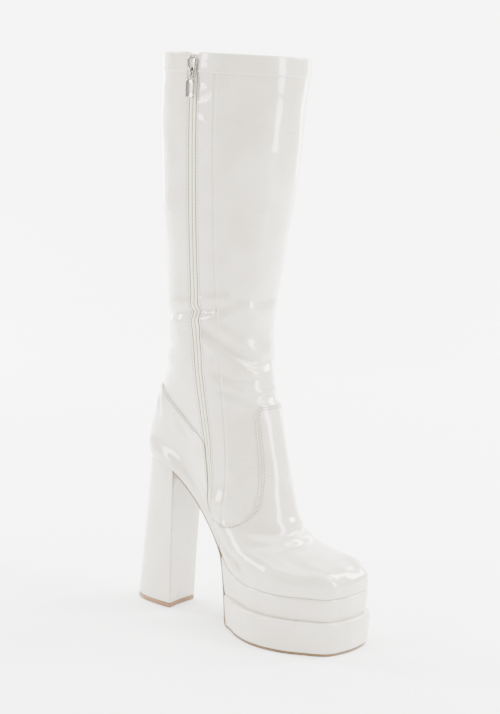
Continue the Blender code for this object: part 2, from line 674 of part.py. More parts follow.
def zip_frame():
    """Origin and the three directions a, b, c of the slider's own axes, in (s, x, z)."""
    q = LAST.zip_arc(SLIDER_T)
    origin = LAST.points(SLIDER_T, [q], 0.0)[0]
    out = LAST.points(SLIDER_T, [q], 1.0)[0] - origin
    down = LAST.points(SLIDER_T + 0.3, [LAST.zip_arc(SLIDER_T + 0.3)], 0.0)[0] - origin
    up = -down / np.linalg.norm(down)
    out = out - up * (out @ up)
    out /= np.linalg.norm(out)
    return origin, np.cross(up, out), out, up


def local_box(low, high, chamfer=0.0):
    """Corner points and faces of a box in the zip's axes, its outward edges chamfered."""
    a0, b0, c0 = low
    a1, b1, c1 = high
    points = []
    for b, inset in ((b0, 0.0), (b1 - chamfer, 0.0), (b1, chamfer)):
        points += [(a0 + inset, b, c0 + inset), (a1 - inset, b, c0 + inset),
                   (a1 - inset, b, c1 - inset), (a0 + inset, b, c1 - inset)]
    return np.array(points)


def from_zip(points):
    """Points in the zip's axes to (s, x, z)."""
    origin, a, b, c = zip_frame()
    p = np.asarray(points, float)
    return origin + p[:, :1] * a + p[:, 1:2] * b + p[:, 2:3] * c


def hinge_point():
    """Middle of the tab's hinge in the zip's axes."""
    top = SLIDER_LIFT + SLIDER_THICK
    return np.array([0.0, top + 0.35 + TAB_THICK / 2, HINGE_C])


def chunk(name, low, high, chamfer, finish):
    """One chamfered block in the zip's axes."""
    points = from_zip(local_box(low, high, chamfer)).reshape(3, 4, 3)
    return stack(name, list(points), finish)


def cut(target, cutter, operation):
    """Boolean of one object with another; the other is removed."""
    tool = target.modifiers.new(operation.lower(), "BOOLEAN")
    tool.operation = operation
    tool.object = cutter
    bpy.context.view_layer.update()
    mesh = bpy.data.meshes.new_from_object(target.evaluated_get(
        bpy.context.evaluated_depsgraph_get()))
    target.modifiers.clear()
    target.data = mesh
    bpy.data.objects.remove(cutter)


def make_slider():
    """The zip's slider with the arch that holds the pull tab."""
    finish = material("silver_slider", (0.75, 0.75, 0.76), 0.2, 1.0)
    top = SLIDER_LIFT + SLIDER_THICK
    slider = chunk("zip_slider", (-SLIDER_WIDE / 2, SLIDER_LIFT, -SLIDER_LONG / 2),
                   (SLIDER_WIDE / 2, top, SLIDER_LONG / 2), 0.8, finish)
    foot_half = SLOT_HALF - 0.5
    foot = chunk("foot", (-foot_half, SLIDER_FOOT, -SLIDER_LONG / 2 + 1.0),
                 (foot_half, SLIDER_LIFT + 0.5, SLIDER_LONG / 2 - 1.0), 0.0, finish)
    cut(slider, foot, "UNION")
    crown = top + ARCH_ROOM + ARCH_THICK
    arch = chunk("arch", (-ARCH_WIDE / 2, top - 0.5, HINGE_C - ARCH_LONG / 2),
                 (ARCH_WIDE / 2, crown, HINGE_C + ARCH_LONG / 2), 0.5, finish)
    cut(slider, arch, "UNION")
    room = chunk("room", (-ARCH_WIDE, top, HINGE_C - ARCH_LONG / 2 + ARCH_THICK),
                 (ARCH_WIDE, top + ARCH_ROOM, HINGE_C + ARCH_LONG / 2 - ARCH_THICK), 0.0, finish)
    cut(slider, room, "DIFFERENCE")
    return slider


def make_tab():
    """The pull tab: a plate with a window, its top bar under the slider's arch."""
    finish = material("silver_tab", (0.78, 0.78, 0.79), 0.15, 1.0)
    pivot = hinge_point()
    bar = TAB_THICK / 2
    tab = chunk("zip_pull_tab", (-TAB_WIDE / 2, pivot[1] - bar, pivot[2] + bar - TAB_LONG),
                (TAB_WIDE / 2, pivot[1] + bar, pivot[2] + bar), 0.3, finish)
    wide, long = TAB_WINDOW
    window = chunk("window", (-wide / 2, pivot[1] - 2 * bar, pivot[2] - bar - long),
                   (wide / 2, pivot[1] + 2 * bar, pivot[2] - bar), 0.0, finish)
    cut(tab, window, "DIFFERENCE")
    centre = world(from_zip(pivot[None]))[0]
    for vertex in tab.data.vertices:
        vertex.co -= type(vertex.co)(centre)
    tab.location = centre
    return tab


def main():
    for thing in list(bpy.data.objects):
        bpy.data.objects.remove(thing)
    make_upper()
    make_collar_band()
    make_shield()
    make_counter()
    make_zip_tape()
    make_platform()
    make_outsole()
    make_heel()
    make_insole()
    make_slider()
    make_tab()


main()
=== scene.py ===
"""Looks of the left go go boot: white patent skin, overlays, zip, stepped platform and block heel.

Every new piece is a surface worked out from the same ring table as the solids. A place is
(s, x, z) in millimetres: s forward from the back of the heel seat, x to the outer side, z up.
"""

import bpy
import numpy as np
from mathutils import Matrix, Vector

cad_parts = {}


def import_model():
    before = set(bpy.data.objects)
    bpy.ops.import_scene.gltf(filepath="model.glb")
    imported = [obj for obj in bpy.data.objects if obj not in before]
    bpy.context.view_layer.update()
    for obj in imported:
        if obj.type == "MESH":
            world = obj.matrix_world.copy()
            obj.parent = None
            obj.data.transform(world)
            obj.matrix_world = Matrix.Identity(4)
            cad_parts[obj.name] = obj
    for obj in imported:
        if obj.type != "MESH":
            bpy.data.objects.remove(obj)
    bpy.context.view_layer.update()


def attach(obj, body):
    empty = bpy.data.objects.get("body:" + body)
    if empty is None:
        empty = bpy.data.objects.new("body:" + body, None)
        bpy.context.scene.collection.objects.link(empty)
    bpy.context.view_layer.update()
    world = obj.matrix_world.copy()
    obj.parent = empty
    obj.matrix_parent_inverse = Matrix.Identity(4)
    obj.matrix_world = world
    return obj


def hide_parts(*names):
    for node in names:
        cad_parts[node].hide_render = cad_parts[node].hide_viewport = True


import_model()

# Sizes in millimetres, the same as the solids'
HEIGHT = 530.0
BALL_S = 170.0
WALL = 1.8
LOWER_TIER = 31.0
OUTSOLE = 2.6
HEEL_LIFT = 4.8
STEP_IN = 3.5
FEATHER_IN = 1.8
TIER_DRAFT = 1.5
COLLAR_BAND = 18.0
SLOT_HALF = 4.0
HEEL_BREAST_S = 40.0
GAP = 0.3

RINGS = (
    # front_s, front_z, back_s, back_z, inner, outer, foot, sag
    (143.0, 530.0, 7.0, 530.0, 63.5, 63.5, 0.00, 0.00),
    (142.5, 508.0, 6.0, 508.0, 62.0, 62.0, 0.00, 0.00),
    (140.5, 484.0, 5.0, 484.0, 60.5, 60.5, 0.00, 0.00),
    (139.5, 448.0, 5.5, 448.0, 58.0, 58.0, 0.00, 0.00),
    (136.0, 412.0, 8.0, 412.0, 55.0, 55.0, 0.00, 0.00),
    (131.5, 374.0, 11.5, 374.0, 51.7, 51.7, 0.00, 0.00),
    (127.0, 339.0, 14.5, 339.0, 48.8, 48.8, 0.00, 0.00),
    (122.5, 304.0, 17.5, 304.0, 45.5, 45.5, 0.00, 0.00),
    (121.5, 270.0, 19.5, 271.0, 42.5, 42.5, 0.00, 0.00),
    (125.0, 241.0, 18.5, 245.0, 40.5, 40.5, 0.02, 0.00),
    (131.5, 218.0, 14.0, 223.0, 39.0, 38.5, 0.06, 0.02),
    (138.5, 196.0, 8.5, 205.0, 38.0, 37.0, 0.14, 0.06),
    (144.5, 174.0, 4.0, 191.0, 37.5, 36.0, 0.26, 0.14),
    (150.0, 151.0, 1.2, 180.0, 38.0, 36.0, 0.40, 0.26),
    (155.5, 128.0, 0.2, 171.5, 39.5, 37.0, 0.55, 0.42),
    (163.0, 105.0, 0.0, 165.0, 42.5, 39.0, 0.70, 0.60),
    (177.0, 88.0, 0.3, 160.5, 46.5, 41.5, 0.83, 0.76),
    (198.0, 81.5, 0.7, 157.0, 49.5, 43.5, 0.92, 0.87),
    (219.0, 76.0, 1.2, 154.0, 51.0, 44.5, 0.98, 0.94),
    (231.0, 68.0, 1.8, 152.0, 51.3, 44.8, 1.00, 0.98),
    (233.5, 59.5, 2.2, 150.5, 51.0, 44.6, 1.00, 1.00),
    (233.0, 52.5, 2.6, 149.0, 50.3, 44.0, 1.00, 1.00),
)
SHAFT_SQUARE = 2.15
FOOT_OUTLINE = (
    (233.0, 5.0), (231.0, -12.0), (224.0, -26.0), (211.0, -37.0), (194.0, -46.5), (174.0, -50.3),
    (156.0, -48.5), (138.0, -41.0), (120.0, -31.0), (103.0, -25.0), (82.0, -24.0), (58.0, -26.0),
    (34.0, -27.5), (15.0, -22.5), (5.5, -12.0), (2.6, 0.0), (5.5, 12.0), (15.0, 22.5), (34.0, 27.0),
    (58.0, 25.0), (82.0, 22.5), (103.0, 23.0), (120.0, 28.5), (138.0, 36.5), (156.0, 42.0),
    (174.0, 44.0), (194.0, 42.5), (211.0, 37.0), (224.0, 29.5), (231.0, 19.5),
)
HEEL_POINT = 15
SEAT = ((-20.0, 150.5), (2.6, 149.0), (22.0, 146.0), (42.0, 139.0), (58.0, 127.0), (73.0, 111.0),
        (87.0, 92.0), (98.0, 75.5), (108.0, 62.0), (120.0, 54.5), (136.0, 52.5), (170.0, 52.3),
        (233.0, 52.5), (260.0, 52.5))
ZIP_LINE = ((0.0, 72.0), (4.0, 70.0), (7.0, 72.0), (9.0, 76.0), (11.0, 82.0), (13.0, 89.0),
            (15.0, 94.0), (17.0, 97.0), (19.0, 99.0), (21.0, 100.0))
ZIP_END = 18.0              # ring number of the zip's lower end
PANEL_TOP = 10.2            # ring number of the vamp's and counter's upper edge
FEATHER_RING = len(RINGS) - 1
SHIELD_EDGE = ((10.2, 0.20), (10.5, 0.31), (11.0, 0.33), (12.5, 0.35), (13.5, 0.38), (14.5, 0.48),
               (15.0, 0.63), (15.25, 0.74), (15.5, 0.86), (16.0, 1.0), (22.0, 1.0))
COUNTER_EDGE = ((10.2, 0.30), (10.5, 0.46), (11.0, 0.62), (11.8, 0.82), (12.5, 1.0), (22.0, 1.0))

SIDE_SAMPLES = 360          # points on each side of a ring
SPAN_SAMPLES = 40           # points for each span of the foot's outline


def cubic(table, at):
    """Cubic Hermite curve through a table's rows, with the first column as its key."""
    rows = np.asarray(table, float)
    key, val = rows[:, 0], rows[:, 1:]
    slope = np.gradient(val, key, axis=0)
    at = np.clip(np.asarray(at, float), key[0], key[-1])
    i = np.clip(np.searchsorted(key, at, side="right") - 1, 0, len(key) - 2)
    width = (key[i + 1] - key[i])[..., None]
    f = (at - key[i])[..., None] / width
    return ((2 * f**3 - 3 * f**2 + 1) * val[i] + (f**3 - 2 * f**2 + f) * width * slope[i]
            + (3 * f**2 - 2 * f**3) * val[i + 1] + (f**3 - f**2) * width * slope[i + 1])


def closed_curve(points, count):
    """Closed Catmull-Rom curve through plan points, count samples for each span."""
    p = np.asarray(points, float)
    f = (np.arange(count) / count)[None, :, None]
    a, b, c, d = (np.roll(p, k, axis=0)[:, None] for k in (1, 0, -1, -2))
    curve = 0.5 * (2 * b + (c - a) * f + (2 * a - 5 * b + 4 * c - d) * f**2
                   + (3 * b - a - 3 * c + d) * f**3)
    return curve.reshape(-1, p.shape[1])


def by_length(line, count):
    """The same open line with count points at equal steps of its own length."""
    step = np.r_[0.0, np.cumsum(np.linalg.norm(np.diff(line, axis=0), axis=1))]
    at = np.linspace(0.0, step[-1], count)
    return np.stack([np.interp(at, step, line[:, k]) for k in range(line.shape[1])], axis=1)


def smooth_step(x, low, high):
    """0 below low, 1 above high, 3f^2 - 2f^3 between."""
    f = np.clip((np.asarray(x, float) - low) / (high - low), 0.0, 1.0)
    return f * f * (3 - 2 * f)


def seat_z(s):
    """Height of the line on which upper and sole meet, at a distance s from the heel's back."""
    return cubic(SEAT, s)[..., 0]


def arch_dip(s):
    """How far the seat line lies below a straight line from the heel's back to the toe."""
    front_s, front_z, back_s, back_z = RINGS[-1][:4]
    return seat_z(s) - (back_z + (front_z - back_z) * (s - back_s) / (front_s - back_s))


def unit_rings():
    """A superellipse and the foot's plan, front, inner side, back, outer side, both to unit size."""
    turn = np.linspace(0.0, np.pi, 2000)
    power = 2.0 / SHAFT_SQUARE
    across = np.sin(turn) ** power
    along = 0.5 + 0.5 * np.sign(np.cos(turn)) * np.abs(np.cos(turn)) ** power
    half = by_length(np.stack([along * 2.0, across], axis=1), SIDE_SAMPLES + 1) / (2.0, 1.0)
    shaft = np.concatenate([half * (1, -1), half[::-1][1:-1]])
    dense = closed_curve(FOOT_OUTLINE, SPAN_SAMPLES)
    back = HEEL_POINT * SPAN_SAMPLES
    inner = by_length(dense[:back + 1], SIDE_SAMPLES + 1)
    outer = by_length(np.concatenate([dense[back:], dense[:1]]), SIDE_SAMPLES + 1)
    foot = np.concatenate([inner, outer[1:-1]])
    along = (foot[:, 0] - foot[:, 0].min()) / np.ptp(foot[:, 0])
    across = np.where(foot[:, 1] < 0, foot[:, 1] / -foot[:, 1].min(), foot[:, 1] / foot[:, 1].max())
    return shaft, np.stack([along, across], axis=1)


class Last:
    """The upper's face as a function of ring number t and arc length q round the ring.

    Each ring blends a superellipse with the foot's plan, is laid on the chord from its back to
    its front and dips with the arch. q starts at the front's middle and runs over the inner side.
    """
    ROWS_PER_RING = 24

    def __init__(self):
        shaft, foot = unit_rings()
        count = len(RINGS)
        self.t = np.arange((count - 1) * self.ROWS_PER_RING + 1) / self.ROWS_PER_RING
        table = np.column_stack([np.arange(count), np.asarray(RINGS)])
        front_s, front_z, back_s, back_z, inner, outer, share, sag = (
            column[:, None] for column in cubic(table, self.t).T)
        share = np.clip(share, 0.0, 1.0)
        along = (1 - share) * shaft[:, 0] + share * foot[:, 0]
        across = (1 - share) * shaft[:, 1] + share * foot[:, 1]
        s = back_s + (front_s - back_s) * along
        dip = arch_dip(s) - along * arch_dip(front_s) - (1 - along) * arch_dip(back_s)
        z = back_z + (front_z - back_z) * along + sag * dip
        rough = np.stack([s, across * np.where(across < 0, inner, outer), z], axis=2)
        ring = np.concatenate([rough, rough[:, :1]], axis=1)
        steps = np.linalg.norm(np.diff(ring, axis=1), axis=2)
        arc = np.concatenate([np.zeros((len(self.t), 1)), np.cumsum(steps, axis=1)], axis=1)
        self.total = arc[:, -1]
        self.back = arc[:, SIDE_SAMPLES]
        self.count = 2 * SIDE_SAMPLES
        even = np.arange(self.count) / self.count
        self.grid = np.stack([
            np.stack([np.interp(even * a[-1], a, r[:, k]) for k in range(3)], axis=1)
            for a, r in zip(arc, ring)])
        around = np.roll(self.grid, -1, axis=1) - np.roll(self.grid, 1, axis=1)
        normal = np.cross(np.gradient(self.grid, axis=0), around)
        normal /= np.linalg.norm(normal, axis=2, keepdims=True)
        outward = ((self.grid - self.grid.mean(axis=1, keepdims=True)) * normal).sum(axis=2)
        self.normal = normal * np.sign(outward.mean())
        self.zip = np.array([
            np.interp(-target, -ring[i, :SIDE_SAMPLES + 1, 0], arc[i, :SIDE_SAMPLES + 1])
            for i, target in enumerate(cubic(ZIP_LINE, self.t)[:, 0])])

    def _read(self, table, t, q):
        """Value of a table at (t, q), bilinear between its four nearest entries."""
        row = np.clip(t * self.ROWS_PER_RING, 0, len(self.t) - 1.001)
        i = row.astype(int)
        fi = (row - i)[..., None]
        total = np.interp(t, self.t, self.total)
        col = np.mod(q / total, 1.0) * self.count
        j = col.astype(int) % self.count
        fj = (col - np.floor(col))[..., None]
        k = (j + 1) % self.count
        return ((1 - fi) * ((1 - fj) * table[i, j] + fj * table[i, k])
                + fi * ((1 - fj) * table[i + 1, j] + fj * table[i + 1, k]))

    def at(self, t, q, lift=0.0):
        """Points at ring numbers t and arc lengths q, lifted off the face by lift."""
        t, q = np.broadcast_arrays(np.asarray(t, float), np.asarray(q, float))
        way = self._read(self.normal, t, q)
        way = way / np.linalg.norm(way, axis=-1, keepdims=True)
        return self._read(self.grid, t, q) + way * (np.zeros(t.shape) + lift)[..., None]

    def zip_arc(self, t):
        """Arc length of the zip's middle line on ring t."""
        return np.interp(t, self.t, self.zip)

    def back_arc(self, t):
        """Arc length of the back's middle on ring t."""
        return np.interp(t, self.t, self.back)

    def length(self, t):
        """Length of ring t all the way round."""
        return np.interp(t, self.t, self.total)


LAST = Last()


def world(points):
    """(s, x, z) in millimetres to the frame's metres."""
    p = np.asarray(points, float).reshape(-1, 3)
    return np.stack([p[:, 1], BALL_S - p[:, 0], p[:, 2]], axis=1) / 1000.0


def put(name, points, faces, finish, body="boot"):
    """A mesh object from points in millimetres and faces, riding on a body."""
    mesh = bpy.data.meshes.new(name)
    mesh.from_pydata(world(points).tolist(), [], [list(map(int, f)) for f in faces])
    mesh.materials.append(finish)
    mesh.shade_smooth()
    made = bpy.data.objects.new(name, mesh)
    bpy.context.scene.collection.objects.link(made)
    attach(made, body)
    return made


def grid_faces(rows, cols, wrap):
    """Quads of a grid of rows x cols points, numbered row by row."""
    i, j = np.meshgrid(np.arange(rows - 1), np.arange(cols if wrap else cols - 1), indexing="ij")
    k = (j + 1) % cols
    return np.stack([i * cols + j, (i + 1) * cols + j, (i + 1) * cols + k, i * cols + k], axis=2)


def wall(name, outer, inner, finish, lining=None, edge=None, shade_cols=()):
    """A wall between two grids, closed along its four borders.

    The grids are rows x columns of points. The lining goes on the inner grid's faces, and the
    edge finish, a darker colour that paints shade along the borders, on the border faces and on
    the outer grid's columns named in shade_cols.
    """
    rows, cols = outer.shape[:2]
    size = rows * cols
    front = grid_faces(rows, cols, False).reshape(-1, 4)
    number = np.arange(size).reshape(rows, cols)
    loop = np.concatenate([number[0, ::-1], number[1:, 0], number[-1, 1:], number[-2:0:-1, -1]])
    ahead = np.roll(loop, -1)
    rim = np.column_stack([ahead, loop, loop + size, ahead + size])
    made = put(name, np.concatenate([outer.reshape(-1, 3), inner.reshape(-1, 3)]),
               np.concatenate([front, front[:, ::-1] + size, rim]), finish)
    index = np.zeros(2 * len(front) + len(rim), np.int32)
    if lining is not None:
        made.data.materials.append(lining)
        index[len(front):2 * len(front)] = 1
    if edge is not None:
        made.data.materials.append(edge)
        slot = len(made.data.materials) - 1
        index[2 * len(front):] = slot
        for col in shade_cols:
            index[:len(front)].reshape(rows - 1, cols - 1)[:, col] = slot
    made.data.polygons.foreach_set("material_index", index)
    turn_outwards(made)
    return made


def tube_parts(sections, wrap=False):
    """Points and faces of a closed profile carried along a path (path x profile points).

    Unless the path wraps, both ends are closed by a face over the profile.
    """
    steps, count = sections.shape[:2]
    i, j = np.meshgrid(np.arange(steps if wrap else steps - 1), np.arange(count), indexing="ij")
    k = (j + 1) % count
    n = (i + 1) % steps
    faces = np.stack([i * count + j, i * count + k, n * count + k, n * count + j], axis=2)
    faces = faces.reshape(-1, 4).tolist()
    if not wrap:
        faces.append(list(range(count - 1, -1, -1)))
        faces.append(list(range((steps - 1) * count, steps * count)))
    return sections.reshape(-1, 3), faces


def tube(name, sections, finish):
    """One closed profile carried along a path, as a piece."""
    made = put(name, *tube_parts(sections), finish)
    turn_outwards(made)
    return made


def cluster(name, parts, finish, body="boot"):
    """One piece from several closed parts, each (sections, wrap), every one turned outwards."""
    points, faces, base = [], [], 0
    for sections, wrap in parts:
        places, loops = tube_parts(sections, wrap)
        loops = [[base + k for k in (loop[::-1] if inside_out(places, loops) else loop)]
                 for loop in loops]
        points.append(places)
        faces += loops
        base += len(places)
    return put(name, np.concatenate(points), faces, finish, body)


def inside_out(points, faces):
    """True if the signed volume under the faces is negative, in (s, x, z) turned to the frame."""
    place = world(points)
    total = 0.0
    for loop in faces:
        fan = place[loop]
        total += (fan[0] * np.cross(fan[1:-1], fan[2:])).sum()
    return total < 0


def turn_outwards(made):
    """Turn every face of a closed piece over if its signed volume is negative."""
    mesh = made.data
    mesh.calc_loop_triangles()
    place = np.empty(3 * len(mesh.vertices))
    mesh.vertices.foreach_get("co", place)
    index = np.empty(3 * len(mesh.loop_triangles), np.int32)
    mesh.loop_triangles.foreach_get("vertices", index)
    a, b, c = np.moveaxis(place.reshape(-1, 3)[index.reshape(-1, 3)], 1, 0)
    if (a * np.cross(b, c)).sum() < 0:
        mesh.flip_normals()


# Creases: ring number and share of the way from the front's middle to the
# back's middle, negative on the outer side; then depth and half width in millimetres
CREASES = (
    (((7.50, 0.86), (7.34, 0.66), (7.25, 0.50), (7.10, 0.36), (6.88, 0.20)), 1.8, 4.4),
    (((7.62, 0.44), (7.95, 0.33), (8.35, 0.20), (8.62, 0.06), (8.60, -0.10)), 2.0, 4.8),
    (((6.60, 0.34), (6.74, 0.20), (6.82, 0.04), (6.70, -0.16)), 0.8, 6.0),
    (((8.92, 0.42), (9.12, 0.30), (9.36, 0.16)), 0.9, 4.0),
    (((9.70, 0.34), (9.88, 0.18), (9.92, 0.00), (9.84, -0.20)), 0.9, 3.6),
    (((8.30, 0.97), (8.42, 0.84), (8.30, 0.66)), 0.8, 5.5),
    (((9.10, 0.97), (9.26, 0.86), (9.24, 0.70)), 0.7, 5.0),
    (((10.4, 0.88), (11.3, 0.82), (12.2, 0.84)), 0.8, 3.8),
    (((12.1, 0.64), (12.8, 0.61)), 0.6, 3.0),
    (((13.5, 0.23), (14.1, 0.19), (14.7, 0.18)), 0.8, 3.6),
    (((15.0, 0.36), (15.3, 0.16), (15.36, 0.00), (15.3, -0.18), (14.9, -0.36)), 1.0, 4.5),
    (((7.60, -0.84), (7.30, -0.60), (7.36, -0.40), (7.20, -0.24)), 1.1, 4.4),
    (((8.10, -0.66), (8.60, -0.44), (8.84, -0.24)), 1.3, 4.8),
    (((9.60, -0.90), (9.30, -0.66), (9.36, -0.46)), 0.8, 4.0),
    (((13.2, -0.24), (14.0, -0.20), (14.6, -0.20)), 0.7, 3.6),
)
CREASE_SAMPLES = 48
SLACK = 1.85                # one factor on every crease and puff
# Places where the slack skin puffs out between creases: ring number, share of the way round,
# height and radius in millimetres
PUFFS = (
    (8.95, 0.40, 1.2, 7.0), (9.15, 0.24, 1.0, 6.0), (9.72, 0.20, 1.1, 6.5), (6.95, 0.22, 0.9, 13.0),
    (11.2, 0.80, 1.4, 13.0), (12.4, 0.70, 0.7, 7.0), (13.0, 0.42, 0.9, 6.0), (13.1, 0.30, 0.8, 6.0),
    (14.9, 0.42, 1.3, 10.0), (14.2, 0.22, 0.9, 9.0), (7.9, 0.62, 0.9, 10.0), (4.6, 0.70, 0.7, 22.0),
    (3.1, 0.24, 0.7, 24.0), (5.4, 0.16, 0.8, 20.0), (8.3, -0.20, 1.0, 9.0), (9.2, -0.50, 1.1, 9.0),
    (7.6, -0.62, 0.9, 11.0), (11.5, -0.78, 1.2, 13.0), (14.6, -0.40, 1.1, 10.0),
    (3.8, -0.5, 0.8, 24.0),
)


def at_share(t, share):
    """Arc length on ring t at a share of the way round to the back, negative on the outer side."""
    back = LAST.back_arc(t)
    return np.where(share >= 0, share * back, share * (LAST.length(t) - back))


def crease_lift(places):
    """Sum of the creases at places on the face, in millimetres off the face.

    Each is a trough -depth exp(-(d/w)^2) along its line, d off the line, with a low ridge
    0.4 depth exp(-((d - 2w)/w)^2) beside it; both fade to nothing at the line's two ends.
    """
    flat = places.reshape(-1, 3)
    lift = np.zeros(len(flat))
    fade = np.sin(np.pi * np.linspace(0.04, 0.96, CREASE_SAMPLES)) ** 0.7
    for line, depth, width in CREASES:
        rows = np.asarray(line)
        step = np.linspace(0, len(rows) - 1, CREASE_SAMPLES)
        t, share = cubic(np.column_stack([np.arange(len(rows)), rows]), step).T
        path = LAST.at(t, at_share(t, share))
        reach = 4.5 * width
        near = np.all((flat > path.min(axis=0) - reach) & (flat < path.max(axis=0) + reach), axis=1)
        if not near.any():
            continue
        gaps = np.linalg.norm(flat[near][:, None] - path[None], axis=2)
        nearest = gaps.argmin(axis=1)
        d = gaps[np.arange(len(nearest)), nearest]
        ridge = 0.4 * np.exp(-((d - 2 * width) / width) ** 2)
        lift[near] += SLACK * depth * fade[nearest] * (ridge - np.exp(-(d / width) ** 2))
    for t, share, height, radius in PUFFS:
        middle = LAST.at(t, at_share(np.array(t), np.array(share)))
        gap = ((flat - middle) ** 2).sum(axis=1)
        lift += SLACK * height * np.exp(-gap / radius**2)
    return lift.reshape(places.shape[:-1])


def relief(t, q):
    """How far the soft skin stands off the last at (t, q), in millimetres.

    Long waves up the shaft, sum of a sin(2 pi (k u + m t) + p) with u the share of the ring,
    plus the creases, plus gathers along the vamp's lower edge.
    """
    u = q / LAST.length(t)
    wave = (0.40 * np.sin(2 * np.pi * (3 * u + 0.045 * t) + 0.6)
            + 0.22 * np.sin(2 * np.pi * (5 * u - 0.09 * t) + 2.1)
            + 0.12 * np.sin(2 * np.pi * (2 * u + 0.43 * t) + 4.0))
    calm = 1 - 0.75 * smooth_step(t, 15.0, 18.0)
    places = LAST.at(t, q)
    edge = shield_reach(t)
    turned = np.mod(q, LAST.length(t))
    side = np.minimum(turned, LAST.length(t) - turned)
    beside = np.exp(-((side - edge) / 9.0) ** 2) * smooth_step(t, 13.0, 14.2)
    beside *= 1 - smooth_step(t, 15.6, 16.4)
    along = (0.55 * places[..., 0] + 0.83 * places[..., 2]) / 7.0
    gather = 0.30 * beside * np.sin(2 * np.pi * along)
    corner = smooth_step(t, 16.4, 18.6) * toe_square(places[..., 0], places[..., 1])
    return wave * calm + crease_lift(places) + gather + corner


TOE_CORNER = 2.6            # how far the snipped toe's two corners stand out
TOE_CORNER_X = 27.0
TOE_CORNER_HALF = 9.5


def toe_square(s, x):
    """Outward growth that squares the toe: a bell round its two corners, ahead of the ball."""
    bell = np.exp(-((np.abs(x + 2.0) - TOE_CORNER_X) / TOE_CORNER_HALF) ** 2)
    return TOE_CORNER * bell * smooth_step(s, 196.0, 214.0)


def edge_share(table, t):
    """How far a panel's edge has come on ring t, as a share of its side, 0 to 1."""
    return np.clip(cubic(table, t)[..., 0], 0.0, 1.0)


def shield_reach(t):
    """Arc length from the front's middle to the vamp's edge on the outer side."""
    return edge_share(SHIELD_EDGE, t) * (LAST.zip_arc(t) - GAP)


def on_skin(t, q, lift=0.0):
    """Points on the creased skin, lifted off it."""
    t, q = np.broadcast_arrays(np.asarray(t, float), np.asarray(q, float))
    return LAST.at(t, q, relief(t, q) + lift)


def rows_between(first, last, step):
    """Ring numbers from first to last about step millimetres apart where rings spread most."""
    gap = np.linalg.norm(np.diff(LAST.grid, axis=0), axis=2).max(axis=1)
    run = np.r_[0.0, np.cumsum(gap)]
    low, high = np.interp((first, last), LAST.t, run)
    return np.interp(np.linspace(low, high, int((high - low) / step) + 2), run, LAST.t)


def rolled(d, radius):
    """Drop of a rounded edge of the given radius at a distance d from it."""
    d = np.clip(d, 0.0, radius)
    return np.sqrt(np.maximum(radius**2 - (radius - d) ** 2, 0.0)) - radius


PANEL = 1.15                # how far a panel stands off the skin
PANEL_SUNK = 0.25           # how far its underside lies in the skin
PANEL_ROUND = 0.7           # round of its edge
# Steps away from an edge or a seam at which columns lie close together
EDGE_STEPS = np.array([0.0, 0.12, 0.35, 0.7, 1.2, 2.0])
SEAM_STEPS = np.array([0.0, 0.4, 0.9, 1.5, 2.4])
SEAM_DEPTH = 0.55
SEAM_HALF = 0.75            # half width of a seam's groove
SEAM_RIDGE = 0.16           # the turned edge felt beside a seam, 2 mm off it
ZIP_FOLD = 1.0              # round of the skin's folded edge beside the zip
LINING_SHARE = 0.8          # the lining follows this share of the skin's relief
SEAM_AHEAD = 22.0           # the shaft's side seams ahead of the zip's line
CLOSED_SLOT = 0.06          # what is left of the slot below the zip, so the wall stays closed


def slot_half(t):
    """Half width of the zip's slot, which narrows to a closed seam at the zip's lower end."""
    return np.maximum(SLOT_HALF * (1 - smooth_step(t, ZIP_END - 0.9, ZIP_END)), CLOSED_SLOT)


def span(low, high, near_low, near_high, count):
    """Columns from low to high (one pair for each row), close together near both ends."""
    first = low[:, None] + near_low
    last = high[:, None] - near_high[::-1]
    f = np.linspace(0, 1, count + 2)[1:-1]
    middle = first[:, -1:] * (1 - f) + last[:, :1] * f
    return np.concatenate([first, middle, last], axis=1)


def linear(code):
    """An sRGB hex colour as linear RGBA."""
    value = np.array([int(code[k:k + 2], 16) for k in (1, 3, 5)]) / 255.0
    value = np.where(value <= 0.04045, value / 12.92, ((value + 0.055) / 1.055) ** 2.4)
    return (*value.tolist(), 1.0)


def add_node(tree, kind, inputs=(), **settings):
    """A node with its settings, and its inputs as plain values or linked sockets."""
    made = tree.nodes.new(kind)
    for key, value in settings.items():
        setattr(made, key, value)
    for key, value in dict(inputs).items():
        if isinstance(value, bpy.types.NodeSocket):
            tree.links.new(value, made.inputs[key])
        else:
            made.inputs[key].default_value = value
    return made


def new_finish(name, **sockets):
    """A Principled material with constants on its own sockets; gives it, its tree and shader."""
    made = bpy.data.materials.new(name)
    made.use_nodes = True
    shader = made.node_tree.nodes["Principled BSDF"]
    for key, value in sockets.items():
        shader.inputs[key.replace("_", " ")].default_value = value
    return made, made.node_tree, shader


def per_metre(millimetres):
    """Scale of a texture node whose feature is this many millimetres wide."""
    return 1000.0 / millimetres


def noise(tree, place, millimetres, **inputs):
    """A noise texture with features of this width, by the object's own coordinates."""
    values = {"Vector": place, "Scale": per_metre(millimetres), **inputs}
    return add_node(tree, "ShaderNodeTexNoise", values).outputs["Fac"]


def tinted(tree, shader, value, shade, colour, low=0.0, high=1.0):
    """Base colour from shade, at value low, to colour, at value high."""
    tint = add_node(tree, "ShaderNodeValToRGB", {"Fac": value})
    for element, position, code in zip(tint.color_ramp.elements, (low, high), (shade, colour)):
        element.position = position
        element.color = linear(code)
    tree.links.new(tint.outputs["Color"], shader.inputs["Base Color"])


def roughened(tree, shader, value, least, most, low=0.0, high=1.0):
    """Roughness from least to most as value runs from low to high."""
    rough = add_node(tree, "ShaderNodeMapRange", {"Value": value, "From Min": low,
                                                  "From Max": high, "To Min": least,
                                                  "To Max": most})
    tree.links.new(rough.outputs["Result"], shader.inputs["Roughness"])


